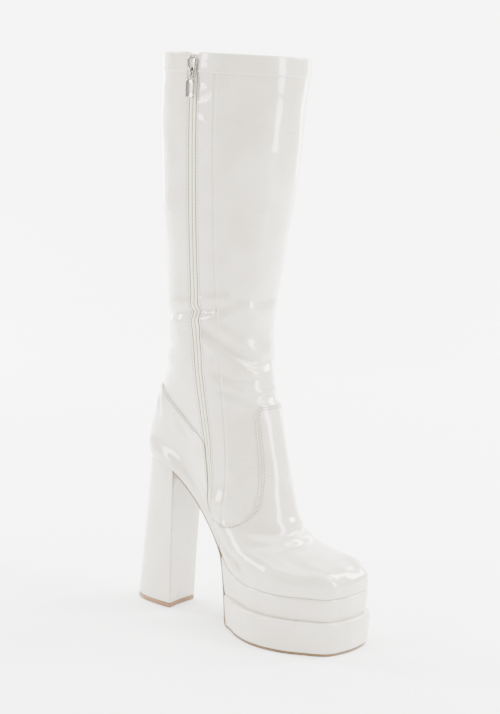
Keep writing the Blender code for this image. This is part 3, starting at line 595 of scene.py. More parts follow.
def bumped(tree, value, strength, metres, **inputs):
    """A normal bent by value, whose full height is given in metres."""
    values = {"Height": value, "Strength": strength, "Distance": metres, **inputs}
    return add_node(tree, "ShaderNodeBump", values).outputs["Normal"]


def patent(name, colour, shade, wave_mm=26.0, wave=0.16):
    """White patent: a clear polyurethane film cast on coated cloth.

    The film's mirror coat gives sharp bright reflections, the body under it a soft warm white.
    wave_mm is the width of the film's slack waves and wave their strength in the bump; the same
    waves paint the body's white a little darker in their hollows, as painted shade.
    """
    made, tree, shader = new_finish(name, Roughness=0.34, IOR=1.5, Coat_Weight=1.0,
                                    Coat_Roughness=0.035, Coat_IOR=1.52)
    place = add_node(tree, "ShaderNodeTexCoord").outputs["Object"]
    slack = noise(tree, place, wave_mm, Detail=2.0, Roughness=0.35)
    # Orange peel of the cast film, 1.6 mm across, and rubbing marks, patches of about 9 mm
    peel = noise(tree, place, 1.6, Detail=1.0)
    rub = noise(tree, place, 9.0, Detail=6.0, Roughness=0.62)
    # Painted shade: the darker tone falls in the slack waves' hollows, keyed to the bump's own noise
    tinted(tree, shader, slack, shade, colour, 0.36, 0.62)
    roughened(tree, shader, rub, 0.26, 0.42, 0.35, 0.75)
    fine = bumped(tree, peel, 0.12, 0.00012, Normal=bumped(tree, slack, wave, 0.004))
    tree.links.new(fine, shader.inputs["Normal"])
    tree.links.new(fine, shader.inputs["Coat Normal"])
    return made


def woven(name, colour, shade, thread_mm, height_mm=0.12):
    """Woven cloth: crossed threads that give a dull surface with a fine check and a soft sheen."""
    made, tree, shader = new_finish(name, Roughness=0.82, IOR=1.46, Sheen_Weight=0.25)
    place = add_node(tree, "ShaderNodeTexCoord").outputs["Object"]
    # The wave node runs through sin(20 x scale), so each period takes about two threads
    scale = per_metre(thread_mm) / 20.0 * 3.1
    warp, weft = [
        add_node(tree, "ShaderNodeTexWave", {"Vector": place, "Scale": scale, "Distortion": 0.6,
                                             "Detail": 1.0}, bands_direction=way).outputs["Fac"]
        for way in "YZ"]
    cross = add_node(tree, "ShaderNodeMath", {0: warp, 1: weft},
                     operation="MULTIPLY").outputs["Value"]
    tinted(tree, shader, cross, shade, colour, 0.0, 0.55)
    tree.links.new(bumped(tree, cross, 0.5, height_mm / 1000.0), shader.inputs["Normal"])
    return made


def tan_sole(name, colour, shade, roughness):
    """Tan resin rubber, moulded and buffed: even brown with fine speckle and a dull shine."""
    made, tree, shader = new_finish(name, IOR=1.5, Coat_Weight=0.25, Coat_Roughness=0.3)
    place = add_node(tree, "ShaderNodeTexCoord").outputs["Object"]
    speck = noise(tree, place, 1.2, Detail=5.0, Roughness=0.6)
    patch = noise(tree, place, 18.0, Detail=3.0)
    both = add_node(tree, "ShaderNodeMath", {0: speck, 1: patch}, operation="MULTIPLY")
    tinted(tree, shader, both.outputs["Value"], shade, colour, 0.12, 0.42)
    roughened(tree, shader, speck, roughness - 0.08, roughness + 0.12)
    tree.links.new(bumped(tree, speck, 0.3, 0.0002), shader.inputs["Normal"])
    return made


def nickel(name):
    """Nickel-plated zinc, die-cast and tumbled: a warm grey mirror with fine hairlines."""
    made, tree, shader = new_finish(name, Base_Color=linear("#8F8B85"), Metallic=1.0)
    place = add_node(tree, "ShaderNodeTexCoord").outputs["Object"]
    hair = noise(tree, place, 2.2, Detail=7.0, Roughness=0.7)
    roughened(tree, shader, hair, 0.10, 0.30)
    tree.links.new(bumped(tree, hair, 0.10, 0.0001), shader.inputs["Normal"])
    return made


PATENT = patent("patent_film_on_cloth", "#C5BEAF", "#BDB5A5", wave=0.34)
PATENT_STIFF = patent("patent_film_over_board", "#C4BDAE", "#BCB4A4", wave_mm=40.0, wave=0.12)
LINING = woven("cotton_lining", "#CFC8B8", "#C4BCAA", 2.0)
TAPE = woven("polyester_zip_tape", "#D8D2BC", "#C6BFA6", 0.9, 0.10)
# The thread is darker than its own colour: painted shade for the hollows the stitches sit in
THREAD_AND_SHADE = woven("waxed_polyester_thread_painted_shade", "#8F8879", "#6E6759", 0.5)
SOLE = tan_sole("buffed_tan_rubber", "#5E441A", "#4A3412", 0.5)
LIFT = tan_sole("moulded_tan_resin", "#785222", "#624018", 0.4)
NICKEL = nickel("nickel_plated_zinc")
# Cut edge of the coated cloth, grey-beige, darkened further as painted shade: a dull line round
# # each panel, and on the skin's folded edges beside the zip where the gaps fall in shade
CUT_EDGE_AND_SHADE = woven("cut_edge_and_painted_shade", "#A19A8C", "#8B8476", 0.8, 0.05)
# Folded inner side of the tapes and the slit between them, darkened as painted shade
ZIP_SHADE = woven("tape_fold_painted_shade", "#6F6959", "#575244", 0.8, 0.05)


def make_skin():
    """The upper's outer face and lining, open at the zip, with grooves at its seams.

    Columns run from the zip's rear edge round the back and the outer side to its front edge.
    """
    rows = rows_between(0.06, FEATHER_RING, 2.5)
    middle = LAST.zip_arc(rows)
    total = LAST.length(rows)
    back = LAST.back_arc(rows)
    half = slot_half(rows)
    seams = [back, total - middle + SEAM_AHEAD]
    ahead = total + middle - SEAM_AHEAD
    stops = [middle + half, *seams, ahead, total + middle - half]
    counts = (34, 44, 52, 8)
    near = [EDGE_STEPS, SEAM_STEPS, SEAM_STEPS, SEAM_STEPS, EDGE_STEPS]
    runs = [span(stops[k], stops[k + 1], near[k], near[k + 1], counts[k]) for k in range(4)]
    q = np.concatenate([runs[0], *[run[:, 1:] for run in runs[1:]]], axis=1)
    t = np.broadcast_to(rows[:, None], q.shape)
    lift = relief(t, q)
    for seam in (*seams, ahead):
        d = np.abs(q - seam[:, None])
        lift = lift - SEAM_DEPTH * np.exp(-(d / SEAM_HALF) ** 2)
        lift = lift + SEAM_RIDGE * np.exp(-((d - 2.0) / 0.9) ** 2)
    fold = np.minimum(q - stops[0][:, None], stops[-1][:, None] - q)
    outer = LAST.at(t, q, lift + rolled(fold, ZIP_FOLD))
    inner = LAST.at(t, q, relief(t, q) * LINING_SHARE - WALL)
    for face in (outer, inner):
        face[-1, :, 2] = seat_z(face[-1, :, 0])
    last = q.shape[1] - 1
    # The skin's folded edge, two columns on each side of the zip's slot, gets the darker edge colour
    # as painted shade
    made = wall("shaft_and_vamp_skin", outer, inner, PATENT, LINING, CUT_EDGE_AND_SHADE,
                (0, 1, last - 2, last - 1))
    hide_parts("upper")


def overlay(name, low, high, count, cad):
    """A panel laid on the skin between two edges given as functions of the ring number."""
    rows = np.concatenate([PANEL_TOP + np.array([0.0, 0.006, 0.018, 0.035, 0.06]),
                           rows_between(PANEL_TOP + 0.10, FEATHER_RING, 2.2)])
    q = span(low(rows), high(rows), EDGE_STEPS, EDGE_STEPS, count)
    t = np.broadcast_to(rows[:, None], q.shape)
    places = LAST.at(t, q)
    top = np.linalg.norm(places - places[:1], axis=2)
    edge = np.minimum(np.minimum(q - q[:, :1], q[:, -1:] - q), top)
    base = relief(t, q)
    outer = LAST.at(t, q, base + PANEL + rolled(edge, PANEL_ROUND))
    inner = LAST.at(t, q, base - PANEL_SUNK)
    for face in (outer, inner):
        face[-1, :, 2] = seat_z(face[-1, :, 0]) + 0.2
    # The panel's rim and its two side columns get the cut-edge colour, darkened as painted shade
    made = wall(name, outer, inner, PATENT, None, CUT_EDGE_AND_SHADE, (0, q.shape[1] - 2))
    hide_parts(cad)


def shield_low(t):
    """Arc length of the vamp's edge on the outer side."""
    return -shield_reach(t)


def shield_high(t):
    """Arc length of the vamp's edge on the inner side, where it stops at the zip."""
    return edge_share(SHIELD_EDGE, t) * (LAST.zip_arc(t) - slot_half(t) - GAP)


def counter_low(t):
    """Arc length of the counter's edge on the inner side, where it stops at the zip."""
    free = LAST.back_arc(t) - LAST.zip_arc(t) - slot_half(t) - GAP
    return LAST.back_arc(t) - edge_share(COUNTER_EDGE, t) * free


def counter_high(t):
    """Arc length of the counter's edge on the outer side."""
    back = LAST.back_arc(t)
    return back + edge_share(COUNTER_EDGE, t) * (LAST.length(t) - LAST.zip_arc(t) - back - GAP)


HEM_OUT = 0.95              # how far the hem stands off the skin
HEM_IN = 0.9                # and off the lining
HEM_CORNER = 2.4            # round of its corners beside the zip


def make_collar():
    """The turned hem: a flat band whose closed profile rolls over the shaft's top edge."""
    drop = COLLAR_BAND
    out = HEM_OUT
    inside = -WALL - HEM_IN
    roll = np.linspace(0, np.pi, 13)
    half = (out - inside) / 2
    centre = (out + inside) / 2
    z = np.concatenate([[drop, drop - 0.15, drop - 0.5], np.linspace(drop - 1.4, 2.2, 9),
                        half * (1 - np.sin(roll)), [3.0, 7.0, 12.0, 12.4, 12.4, 3.0, 2.4],
                        [2.4, 3.0, drop - 0.2]])
    lift = np.concatenate([[0.05, out - 0.35, out], np.full(9, out), centre + half * np.cos(roll),
                           [inside, inside, inside, inside + 0.3, -WALL + 0.05, -WALL + 0.05,
                            -WALL + 0.2], [-0.2, 0.05, 0.05]])
    t_top = np.interp(z, HEIGHT - LAST.grid[:, 0, 2], LAST.t)
    middle = LAST.zip_arc(t_top)
    total = LAST.length(t_top)
    share = np.concatenate([[0.0, 0.0012, 0.003], np.linspace(0.008, 0.992, 220),
                            [0.997, 0.9988, 1.0]])
    f = share[:, None]
    low = middle + SLOT_HALF - 0.1
    high = total + middle - SLOT_HALF + 0.1
    q = low + f * (high - low)
    t = np.broadcast_to(t_top, q.shape)
    squeeze = np.clip(np.minimum(share, 1 - share)[:, None] / 0.004, 0, 1) ** 0.5
    lifts = (lift - centre) * (0.72 + 0.28 * squeeze) + centre
    # The corners beside the zip are cut round
    corner = np.minimum(q - low, high - q)
    round_off = -rolled(corner, HEM_CORNER)
    sections = LAST.at(t, q, lifts + relief(t, q) * 0.9)
    sections[..., 2] = HEIGHT - z - round_off * (1 - smooth_step(z, 2.0, 12.0))
    made = tube("collar_hem", sections, PATENT)
    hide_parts("collar_band")


TAPE_THICK = 1.1
TAPE_SUNK = 0.55            # the tape's back under the skin, before its thickness
COIL_PITCH = 1.5            # one turn of the coil under the tape
COIL_RIB = 0.07
LOBE_MIDDLE = 1.95          # each tape's ridge, off the zip's middle line
LOBE_HALF = 1.66
LOBE_HIGH = 0.75


def make_tape():
    """The two woven tapes, round like piping, that meet in a dark slit on the middle line.

    Height = 0.75 (1 - ((|x| - 1.95)/1.66)^4) - 0.75, plus ribs of the coil beneath,
    0.07 cos(2 pi run / pitch), that fade with the same bulge.
    """
    rows = rows_between(0.10, ZIP_END - 0.12, 0.5)
    run = np.linspace(0, len(rows) * 0.5, len(rows))
    half = np.array([0.0, 0.16, 0.32, 0.5, 0.8, 1.2, 1.7, 2.2, 2.7, 3.1, 3.4, 3.55, 3.62])
    x = np.concatenate([-half[:0:-1], half])
    bulge = np.maximum(1 - ((np.abs(x) - LOBE_MIDDLE) / LOBE_HALF) ** 4, -0.6)
    rib = COIL_RIB * np.cos(2 * np.pi * run / COIL_PITCH)[:, None] * np.clip(bulge, 0, 1)
    rise = LOBE_HIGH * bulge + rib - LOBE_HIGH
    taper = 1 - smooth_step(rows, ZIP_END - 0.9, ZIP_END)[:, None] * 0.9
    q = LAST.zip_arc(rows)[:, None] + x * taper
    t = np.broadcast_to(rows[:, None], q.shape)
    base = relief(t, q)
    outer = LAST.at(t, q, base + rise)
    inner = LAST.at(t, q, base - TAPE_SUNK - TAPE_THICK)
    slit = len(half) - 1
    # The slit and the tapes' folded sides get the painted shade
    shaded = (0, 1, slit - 2, slit - 1, slit, slit + 1, len(x) - 3, len(x) - 2)
    made = wall("zip_tapes", outer, inner, TAPE, None, ZIP_SHADE, shaded)
    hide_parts("zip_tape")


SOLE_SIDE_POINTS = 110
TIER_ROUND = 2.1
REAR_TOP_S = 103.4
REAR_STEP_S = 109.8
REAR_FLOOR_S = 113.4


def offset_outline(grow):
    """The feather line's plan, dense and closed, grown outwards by grow, a function of s."""
    dense = closed_curve(FOOT_OUTLINE, SPAN_SAMPLES)
    ahead = np.roll(dense, -1, axis=0) - np.roll(dense, 1, axis=0)
    out = np.stack([-ahead[:, 1], ahead[:, 0]], axis=1)
    out /= np.linalg.norm(out, axis=1, keepdims=True)
    if out[0, 0] < 0:
        out = -out
    more = grow(dense[:, 0]) + toe_square(dense[:, 0], dense[:, 1])
    return dense + out * more[:, None]


def platform_outline(grow, rear_s):
    """Plan outline of the platform, cut across at rear_s: inner and outer lines, toe to rear."""
    grown = offset_outline(grow)
    back = HEEL_POINT * SPAN_SAMPLES
    sides = []
    for line in (grown[:back + 1], np.concatenate([grown[:1], grown[back:][::-1]])):
        cut = np.argmax(line[:, 0] < rear_s)
        kept = line[:cut]
        f = (kept[-1, 0] - rear_s) / (kept[-1, 0] - line[cut, 0])
        corner = kept[-1] + f * (line[cut] - kept[-1])
        sides.append(by_length(np.concatenate([kept, [corner]]), SOLE_SIDE_POINTS))
    return sides


def plate(name, levels, cad, finish):
    """A step of the platform through plan outlines, with ruled top and bottom faces."""
    loops = []
    for grow, rear_s, height in levels:
        inner, outer = platform_outline(grow, rear_s)
        plan = np.concatenate([inner, outer[::-1][:-1]])
        loops.append(np.column_stack([plan, height(plan[:, 0])]))
    count = len(loops[0])
    side = grid_faces(len(loops), count, True).reshape(-1, 4).tolist()
    last = (len(loops) - 1) * count
    a = np.arange(1, SOLE_SIDE_POINTS - 1)
    caps = []
    for base, turn in ((0, 1), (last, -1)):
        strip = base + np.column_stack([a, a + 1, count - a - 1, count - a])
        caps += [quad[::turn] for quad in strip.tolist()]
        caps.append([base, base + 1, base + count - 1][::turn])
    made = put(name, np.concatenate(loops), side + caps, finish)
    made.data.set_sharp_from_angle(angle=np.radians(50.0))
    turn_outwards(made)
    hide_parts(cad)


STEP_STARTS = (108.0, 142.0)    # over these places the lower step comes out from under the upper


def lower_out(s):
    """How far the lower step stands off the feather line at a place s."""
    return FEATHER_IN + STEP_IN * smooth_step(s, *STEP_STARTS)


def tier_levels(top, bottom, out, rear_top, rear_bottom):
    """Levels of one step: a quarter-round top edge, then walls that lean in to the floor."""
    levels = []
    for turn in np.radians(np.linspace(0.0, 90.0, 8)):
        drop = TIER_ROUND * (1 - np.cos(turn))
        inset = TIER_ROUND * (1 - np.sin(turn))
        levels.append((lambda s, i=inset: out(s) - i, rear_top, lambda s, d=drop: top(s) - d))
    for f in np.linspace(0.1, 1.0, 8):
        # The covering is pulled in under the step, so the wall bellies out a little
        belly = 0.35 * np.sin(np.pi * f)
        levels.append((
            lambda s, f=f, b=belly: out(s) - TIER_DRAFT * f + b,
            rear_top + (rear_bottom - rear_top) * f,
            lambda s, f=f: (top(s) - TIER_ROUND) * (1 - f) + bottom * f))
    levels.append((lambda s: out(s) - TIER_DRAFT - 0.8, rear_bottom,
                   lambda s: np.full_like(s, bottom - 0.25)))
    return levels


def make_platform():
    """The platform's two covered steps; the upper one's top follows the seat line."""
    def upper_out(s):
        return FEATHER_IN + np.zeros_like(s)

    plate("platform_step_upper",
          tier_levels(lambda s: seat_z(s) - 0.15, LOWER_TIER + GAP, upper_out,
                      REAR_TOP_S, REAR_STEP_S), "platform_upper_tier", PATENT_STIFF)
    plate("platform_step_lower",
          tier_levels(lambda s: np.full_like(s, LOWER_TIER), OUTSOLE + GAP, lower_out,
                      REAR_STEP_S, REAR_FLOOR_S), "platform_lower_tier", PATENT_STIFF)


ARCH_SPAN = (42.0, 97.0)
SOLE_REAR = ((99.0, 66.5), (101.6, 57.0), (103.8, 46.0), (106.0, 33.0), (107.8, 20.0),
             (109.3, 8.0), (109.9, 4.0), (111.0, 1.2), (113.8, 0.0))
SOLE_EDGE = 0.5             # round of the sole's edge


def make_outsole():
    """The thin sole: a strip along the arch and down the platform's rear, then under it.

    Each section is a flat box with cut corners, square to the path's side view.
    """
    s = np.linspace(*ARCH_SPAN, 40)
    line = np.column_stack([s, seat_z(s)])
    way = np.gradient(line, axis=0)
    way /= np.linalg.norm(way, axis=1, keepdims=True)
    down = np.column_stack([way[:, 1], -way[:, 0]])
    rough = np.concatenate([line + down * (OUTSOLE + 0.5), SOLE_REAR])
    path = by_length(rough, 110)
    way = np.gradient(path, axis=0)
    way[-1] = (1.0, 0.0)
    up = np.stack([-way[:, 1], way[:, 0]], axis=1)
    up /= np.linalg.norm(up, axis=1, keepdims=True)
    dense = closed_curve(FOOT_OUTLINE, SPAN_SAMPLES)
    half = HEEL_POINT * SPAN_SAMPLES
    low = np.interp(-path[:, 0], -dense[:half, 0], dense[:half, 1])
    high = np.interp(path[:, 0], dense[half:, 0], dense[half:, 1])
    grow = (FEATHER_IN - 0.4) * smooth_step(path[:, 0], 85.0, 105.0) - 0.6
    low = low - grow
    high = high + grow
    inner, outer = platform_outline(
        lambda s: lower_out(s) - TIER_DRAFT + 0.1,
        path[-1, 0] + 1.0)
    flat = np.arange(SOLE_SIDE_POINTS - 1, 1, -1)
    path = np.concatenate([path, np.column_stack([inner[flat, 0], np.zeros(len(flat))])])
    up = np.concatenate([up, np.tile([0.0, 1.0], (len(flat), 1))])
    low = np.concatenate([low, inner[flat, 1]])
    high = np.concatenate([high, outer[flat, 1]])
    sections = []
    for inset, rise, side in ((SOLE_EDGE, 0, 0), (SOLE_EDGE, 0, 1), (0, SOLE_EDGE, 1),
                              (0, OUTSOLE - SOLE_EDGE, 1), (SOLE_EDGE, OUTSOLE, 1),
                              (SOLE_EDGE, OUTSOLE, 0), (0, OUTSOLE - SOLE_EDGE, 0),
                              (0, SOLE_EDGE, 0)):
        x = high - inset if side else low + inset
        sections.append(np.column_stack([path[:, 0] + up[:, 0] * rise, x,
                                         path[:, 1] + up[:, 1] * rise]))
    made = tube("tan_outsole", np.stack(sections, axis=1), SOLE)
    made.data.set_sharp_from_angle(angle=np.radians(40.0))
    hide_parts("outsole")


HEEL_TOP_HALF = 25.4
HEEL_FOOT_HALF = 20.0
HEEL_TOP_BACK_S = 1.8
HEEL_BACK_FLARE = 10.0
HEEL_BREAST_DISH = 0.8
HEEL_POINTS = 56
HEEL_CORNER = 1.2           # round of the two upright breast edges
HEEL_HOLLOW = 0.33          # the cover is drawn tight, so the sides hollow by this much


def heel_plan(share, inset=0.0):
    """D-shaped plan of the heel with round breast corners; share 0 at the seat, 1 at the floor."""
    half = HEEL_TOP_HALF + (HEEL_FOOT_HALF - HEEL_TOP_HALF) * share - inset
    back_s = HEEL_TOP_BACK_S - (HEEL_BACK_FLARE + HEEL_TOP_BACK_S) * share + inset
    breast_s = HEEL_BREAST_S - inset
    power = 2.0 / 2.4
    turn = np.linspace(-np.pi / 2, np.pi / 2, 2 * HEEL_POINTS + 1)
    s = breast_s - (breast_s - back_s) * np.abs(np.cos(turn)) ** power
    x = half * np.sign(np.sin(turn)) * np.abs(np.sin(turn)) ** power
    s[0] = s[-1] = breast_s
    corner = HEEL_CORNER
    edge = np.radians(np.linspace(0, 90, 6))
    keep = s < breast_s - corner
    side = np.column_stack([s[keep], x[keep]])
    top = np.column_stack([breast_s - corner + corner * np.sin(edge),
                           half - corner + corner * np.cos(edge)])
    across = np.linspace(half - corner, -half + corner, 16)[1:-1]
    front = np.column_stack([breast_s - HEEL_BREAST_DISH * np.cos(across / half * np.pi / 2),
                             across])
    return np.concatenate([side, top, front, (top * (1, -1))[::-1]])


def heel_stack(name, sections, cad, finish):
    """A solid through closed plans from the top down, its ends closed by one face each."""
    made = tube(name, np.stack(sections), finish)
    made.data.set_sharp_from_angle(angle=np.radians(50.0))
    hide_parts(cad)


def make_heel():
    """The covered block heel and the tan lift nailed under it."""
    bottom = HEEL_LIFT + 0.15
    sections = []
    for share in np.concatenate([[0.0], np.linspace(0.01, 0.985, 40), [0.995, 1.0]]):
        inset = 0.5 if share == 1.0 else 0.6 if share == 0.0 else 0.0
        plan = heel_plan(share, inset + HEEL_HOLLOW * np.sin(np.pi * share))
        top = seat_z(plan[:, 0]) - 0.55
        sections.append(np.column_stack([plan, top + (bottom - top) * share]))
    heel_stack("heel_block_cover", sections, "heel_block", PATENT_STIFF)
    lift = []
    for z, inset in ((HEEL_LIFT, 0.5), (HEEL_LIFT - 0.3, 0.05), (3.2, 0.0), (1.4, 0.05),
                     (0.5, 0.25), (0.0, 0.7)):
        plan = heel_plan(1.0, inset)
        lift.append(np.column_stack([plan, np.full(len(plan), z)]))
    heel_stack("heel_lift", lift, "heel_top_lift", LIFT)


# One stitch: a bead of thread, sections along it as (share of its length, share of its width)
STITCH_SECTIONS = np.array([(0.0, 0.35), (0.16, 0.85), (0.5, 1.0), (0.84, 0.85), (1.0, 0.35)])
STITCH_SIDES = 6
STITCH_PITCH = 3.2
STITCH_LENGTH = 2.3


def stitches(name, start, end, up, width=0.75, finish=THREAD_AND_SHADE):
    """Beads of thread from start to end points, standing on the skin whose normal is up.

    A bead's section is an ellipse, width across and 0.7 width high, that thins at both ends.
    """
    along = end - start
    along /= np.linalg.norm(along, axis=1, keepdims=True)
    side = np.cross(along, up)
    side /= np.linalg.norm(side, axis=1, keepdims=True)
    turn = 2 * np.pi * np.arange(STITCH_SIDES) / STITCH_SIDES
    f, wide = STITCH_SECTIONS.T
    centre = start[:, None] + f[None, :, None] * (end - start)[:, None]
    centre = centre - up[:, None] * (0.30 * (1 - wide))[None, :, None]
    round_ = (np.cos(turn)[:, None] * side[:, None, None, :]
              + 0.7 * np.sin(turn)[:, None] * up[:, None, None, :])
    points = centre[:, :, None] + round_ * (wide * width / 2)[None, :, None, None]
    bead = len(f) * STITCH_SIDES
    quads = grid_faces(len(f), STITCH_SIDES, True).reshape(-1, 4)
    ends = np.array([np.arange(STITCH_SIDES), bead - 1 - np.arange(STITCH_SIDES)])
    base = np.arange(len(start)) * bead
    faces = (quads[None] + base[:, None, None]).reshape(-1, 4).tolist()
    faces += (ends[None] + base[:, None, None]).reshape(-1, STITCH_SIDES).tolist()
    made = put(name, points.reshape(-1, 3), faces, finish)
    turn_outwards(made)


def seam_path(t, q, lift):
    """Dense points and normals of a stitching line on the skin."""
    points = on_skin(t, q, lift)
    normal = on_skin(t, q, lift + 1.0) - points
    return points, normal / np.linalg.norm(normal, axis=1, keepdims=True)


def stitch_line(name, t, q, lift):
    """Stitches at an even pitch along a line of ring numbers and arc lengths on the skin."""
    points, normal = seam_path(t, q, lift)
    both = np.concatenate([points, normal], axis=1)
    run = np.r_[0.0, np.cumsum(np.linalg.norm(np.diff(points, axis=0), axis=1))]
    at = np.arange(STITCH_PITCH, run[-1] - STITCH_PITCH, STITCH_PITCH)

    def read(where):
        return np.stack([np.interp(where, run, both[:, k]) for k in range(6)], axis=1)

    start, end = read(at - STITCH_LENGTH / 2), read(at + STITCH_LENGTH / 2)
    stitches(name, start[:, :3], end[:, :3], read(at)[:, 3:])


def panel_line(last, low, high, inset):
    """A line a fixed inset inside a panel's edge: up one side, across the top, down the other."""
    top_t = PANEL_TOP + inset / RING_MM
    t_up = np.linspace(last, top_t, 400)
    side_a = low(t_up) + inset
    side_b = high(t_up) - inset
    across = np.linspace(side_a[-1], side_b[-1], 60)[1:-1]
    q = np.concatenate([side_a, across, side_b[::-1]])
    t = np.concatenate([t_up, np.full(len(across), top_t), t_up[::-1]])
    return t, q


RING_MM = 22.0 / 1.02       # from ring to ring at the panels' upper edge
ROWS_IN = (2.0, 4.2)        # the two rows of stitches, in from a panel's edge
ON_PANEL = PANEL + 0.32     # height of a stitch's middle over the skin, on a panel
BESIDE_ZIP = 2.4            # the zip's stitches, off the slot's edge


def make_stitching():
    """Double rows on the vamp and counter, single rows beside the zip, zigzag under the hem."""
    for k, inset in enumerate(ROWS_IN):
        stitch_line(f"vamp_stitches_{k}", *panel_line(15.6, shield_low, shield_high, inset), ON_PANEL)
        stitch_line(f"counter_stitches_{k}", *panel_line(12.2, counter_low, counter_high, inset),
                    ON_PANEL)
    t = np.linspace(0.9, ZIP_END - 1.2, 700)
    for side, name in ((-1.0, "zip_stitches_front"), (1.0, "zip_stitches_rear")):
        edge = LAST.zip_arc(t) + side * (SLOT_HALF + BESIDE_ZIP)
        covered = (edge < shield_high(t)) if side < 0 else (edge > counter_low(t))
        lift = np.where((t > PANEL_TOP) & covered, PANEL + 0.05, 0.06)
        stitch_line(name, t, edge, lift)
    make_zigzag()
    shield_t = np.linspace(10.55, 14.6, 500)
    counter_t = np.linspace(10.45, 12.1, 300)
    for name, t, edge, way in (
            ("vamp_puckers_inner", shield_t, shield_high(shield_t), -1.0),
            ("vamp_puckers_outer", shield_t, shield_low(shield_t), 1.0),
            ("counter_puckers_inner", counter_t, counter_low(counter_t), 1.0),
            ("counter_puckers_outer", counter_t, counter_high(counter_t), -1.0)):
        near, normal = seam_path(t, edge + way * 0.9, PANEL - 0.28)
        far = seam_path(t, edge + way * 5.4, PANEL - 0.28)[0]
        run = np.r_[0.0, np.cumsum(np.linalg.norm(np.diff(near, axis=0), axis=1))]
        pick = np.searchsorted(run, np.arange(2.0, run[-1] - 2.0, STITCH_PITCH))
        stitches(name, near[pick], far[pick], normal[pick], 1.5, PATENT)


def make_zigzag():
    """Zigzag stitches that hold the hem's lower edge, 2.6 mm wide."""
    z = COLLAR_BAND - 1.6 + np.array([-1.3, 1.3])
    t_two = np.interp(z, HEIGHT - LAST.grid[:, 0, 2], LAST.t)
    middle = LAST.zip_arc(t_two)
    total = LAST.length(t_two)
    count = 2 * int(total[0] / STITCH_PITCH)
    f = np.linspace(0.004, 0.996, count + 1)
    row = np.arange(count + 1) % 2
    low = middle[row] + SLOT_HALF
    q = low + f * (total[row] - 2 * SLOT_HALF)
    t = t_two[row]
    lift = np.where(row == 1, 0.10, 1.02)
    points, normal = seam_path(t, q, lift)
    stitches("hem_zigzag", points[:-1], points[1:], (normal[:-1] + normal[1:]) / 2, 0.5)


SLIDER_T = 0.62             # ring number of the slider's middle
SLIDER_WIDE = 11.0
SLIDER_LONG = 18.0
SLIDER_THICK = 2.6
SLIDER_LIFT = 1.5
ARCH_LONG = 9.0
ARCH_ROOM = 2.2
HINGE_C = -3.0
TAB_WIDE = 8.6
TAB_LONG = 24.0
TAB_THICK = 1.4
LINK_LONG = 9.2             # the tab's narrow loop, from the hinge to the plate


def zip_axes():
    """Middle of the slider on the zip and its directions: along the ring, outwards, up."""
    q = LAST.zip_arc(SLIDER_T)
    origin = LAST.at(SLIDER_T, q)
    out = LAST.at(SLIDER_T, q, 1.0) - origin
    down = LAST.at(SLIDER_T + 0.3, LAST.zip_arc(SLIDER_T + 0.3)) - origin
    up = -down / np.linalg.norm(down)
    out = out - up * (out @ up)
    out /= np.linalg.norm(out)
    return origin, np.cross(up, out), out, up


def from_zip(points):
    """Points (a, b, c) in the slider's own axes to (s, x, z)."""
    origin, a, b, c = zip_axes()
    p = np.asarray(points, float)
    return origin + p[..., :1] * a + p[..., 1:2] * b + p[..., 2:] * c


def round_box(half_a, half_c, corner, centre_c=0.0, waist=0.0, count=7):
    """Outline in (a, c) of a rectangle with round corners; waist narrows its lower end."""
    turn = np.radians(np.linspace(0, 90, count))
    loop = []
    for sign_a, sign_c, order in ((1, 1, 1), (-1, 1, -1), (-1, -1, 1), (1, -1, -1)):
        half = half_a - (waist if sign_c < 0 else 0.0)
        arc = np.column_stack([sign_a * (half - corner + corner * np.cos(turn)),
                               sign_c * (half_c - corner + corner * np.sin(turn))])
        loop.append(arc[::order])
    return np.concatenate(loop) + (0.0, centre_c)


def slab(outline, levels):
    """Sections of a slab in (a, b, c): levels are (b, inset of the outline towards its middle)."""
    middle = (outline.max(axis=0) + outline.min(axis=0)) / 2
    half = np.ptp(outline, axis=0) / 2
    sections = []
    for b, inset in levels:
        plan = middle + (outline - middle) * (1 - inset / half)
        sections.append(np.column_stack([plan[:, 0], np.full(len(plan), b), plan[:, 1]]))
    return from_zip(np.stack(sections))


def bar(path, half_wide, half_thick, wide_way):
    """Sections of a rounded flat bar along a path in (a, b, c); wide_way is its width's way."""
    way = np.gradient(path, axis=0)
    way /= np.linalg.norm(way, axis=1, keepdims=True)
    across = np.broadcast_to(np.asarray(wide_way, float), way.shape)
    thick = np.cross(way, across)
    thick /= np.linalg.norm(thick, axis=1, keepdims=True)
    turn = 2 * np.pi * (np.arange(12) + 0.5) / 12
    power = 0.6
    u = np.sign(np.cos(turn)) * np.abs(np.cos(turn)) ** power * half_wide
    v = np.sign(np.sin(turn)) * np.abs(np.sin(turn)) ** power * half_thick
    return from_zip(path[:, None] + across[:, None] * u[None, :, None]
                    + thick[:, None] * v[None, :, None])


def make_slider():
    """The die-cast slider: a domed shield with side flanges, and the arch over its middle."""
    low, top = SLIDER_LIFT, SLIDER_LIFT + SLIDER_THICK
    half_a, half_c = SLIDER_WIDE / 2, SLIDER_LONG / 2
    body = slab(round_box(half_a, half_c, 2.6, waist=1.3),
                ((low, 0.3), (low + 0.25, 0.0), (top - 1.2, 0.0), (top - 0.7, 0.25),
                 (top - 0.3, 0.8), (top - 0.08, 1.7), (top, 2.6)))
    foot = slab(round_box(3.1, half_c - 1.2, 1.4), ((low - 1.0, 0.2), (low + 0.3, 0.0)))
    turn = np.radians(np.linspace(-8, 188, 26))
    crown = ARCH_ROOM + 0.55
    arch_path = np.column_stack([np.zeros(26), top - 0.1 + crown * np.sin(turn),
                                 HINGE_C + (ARCH_LONG / 2 - 0.6) * np.cos(turn)])
    arch = bar(arch_path, 1.5, 0.55, (1, 0, 0))
    made = cluster("zip_slider_body", [(body, False), (foot, False), (arch, False)], NICKEL)
    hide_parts("zip_slider")


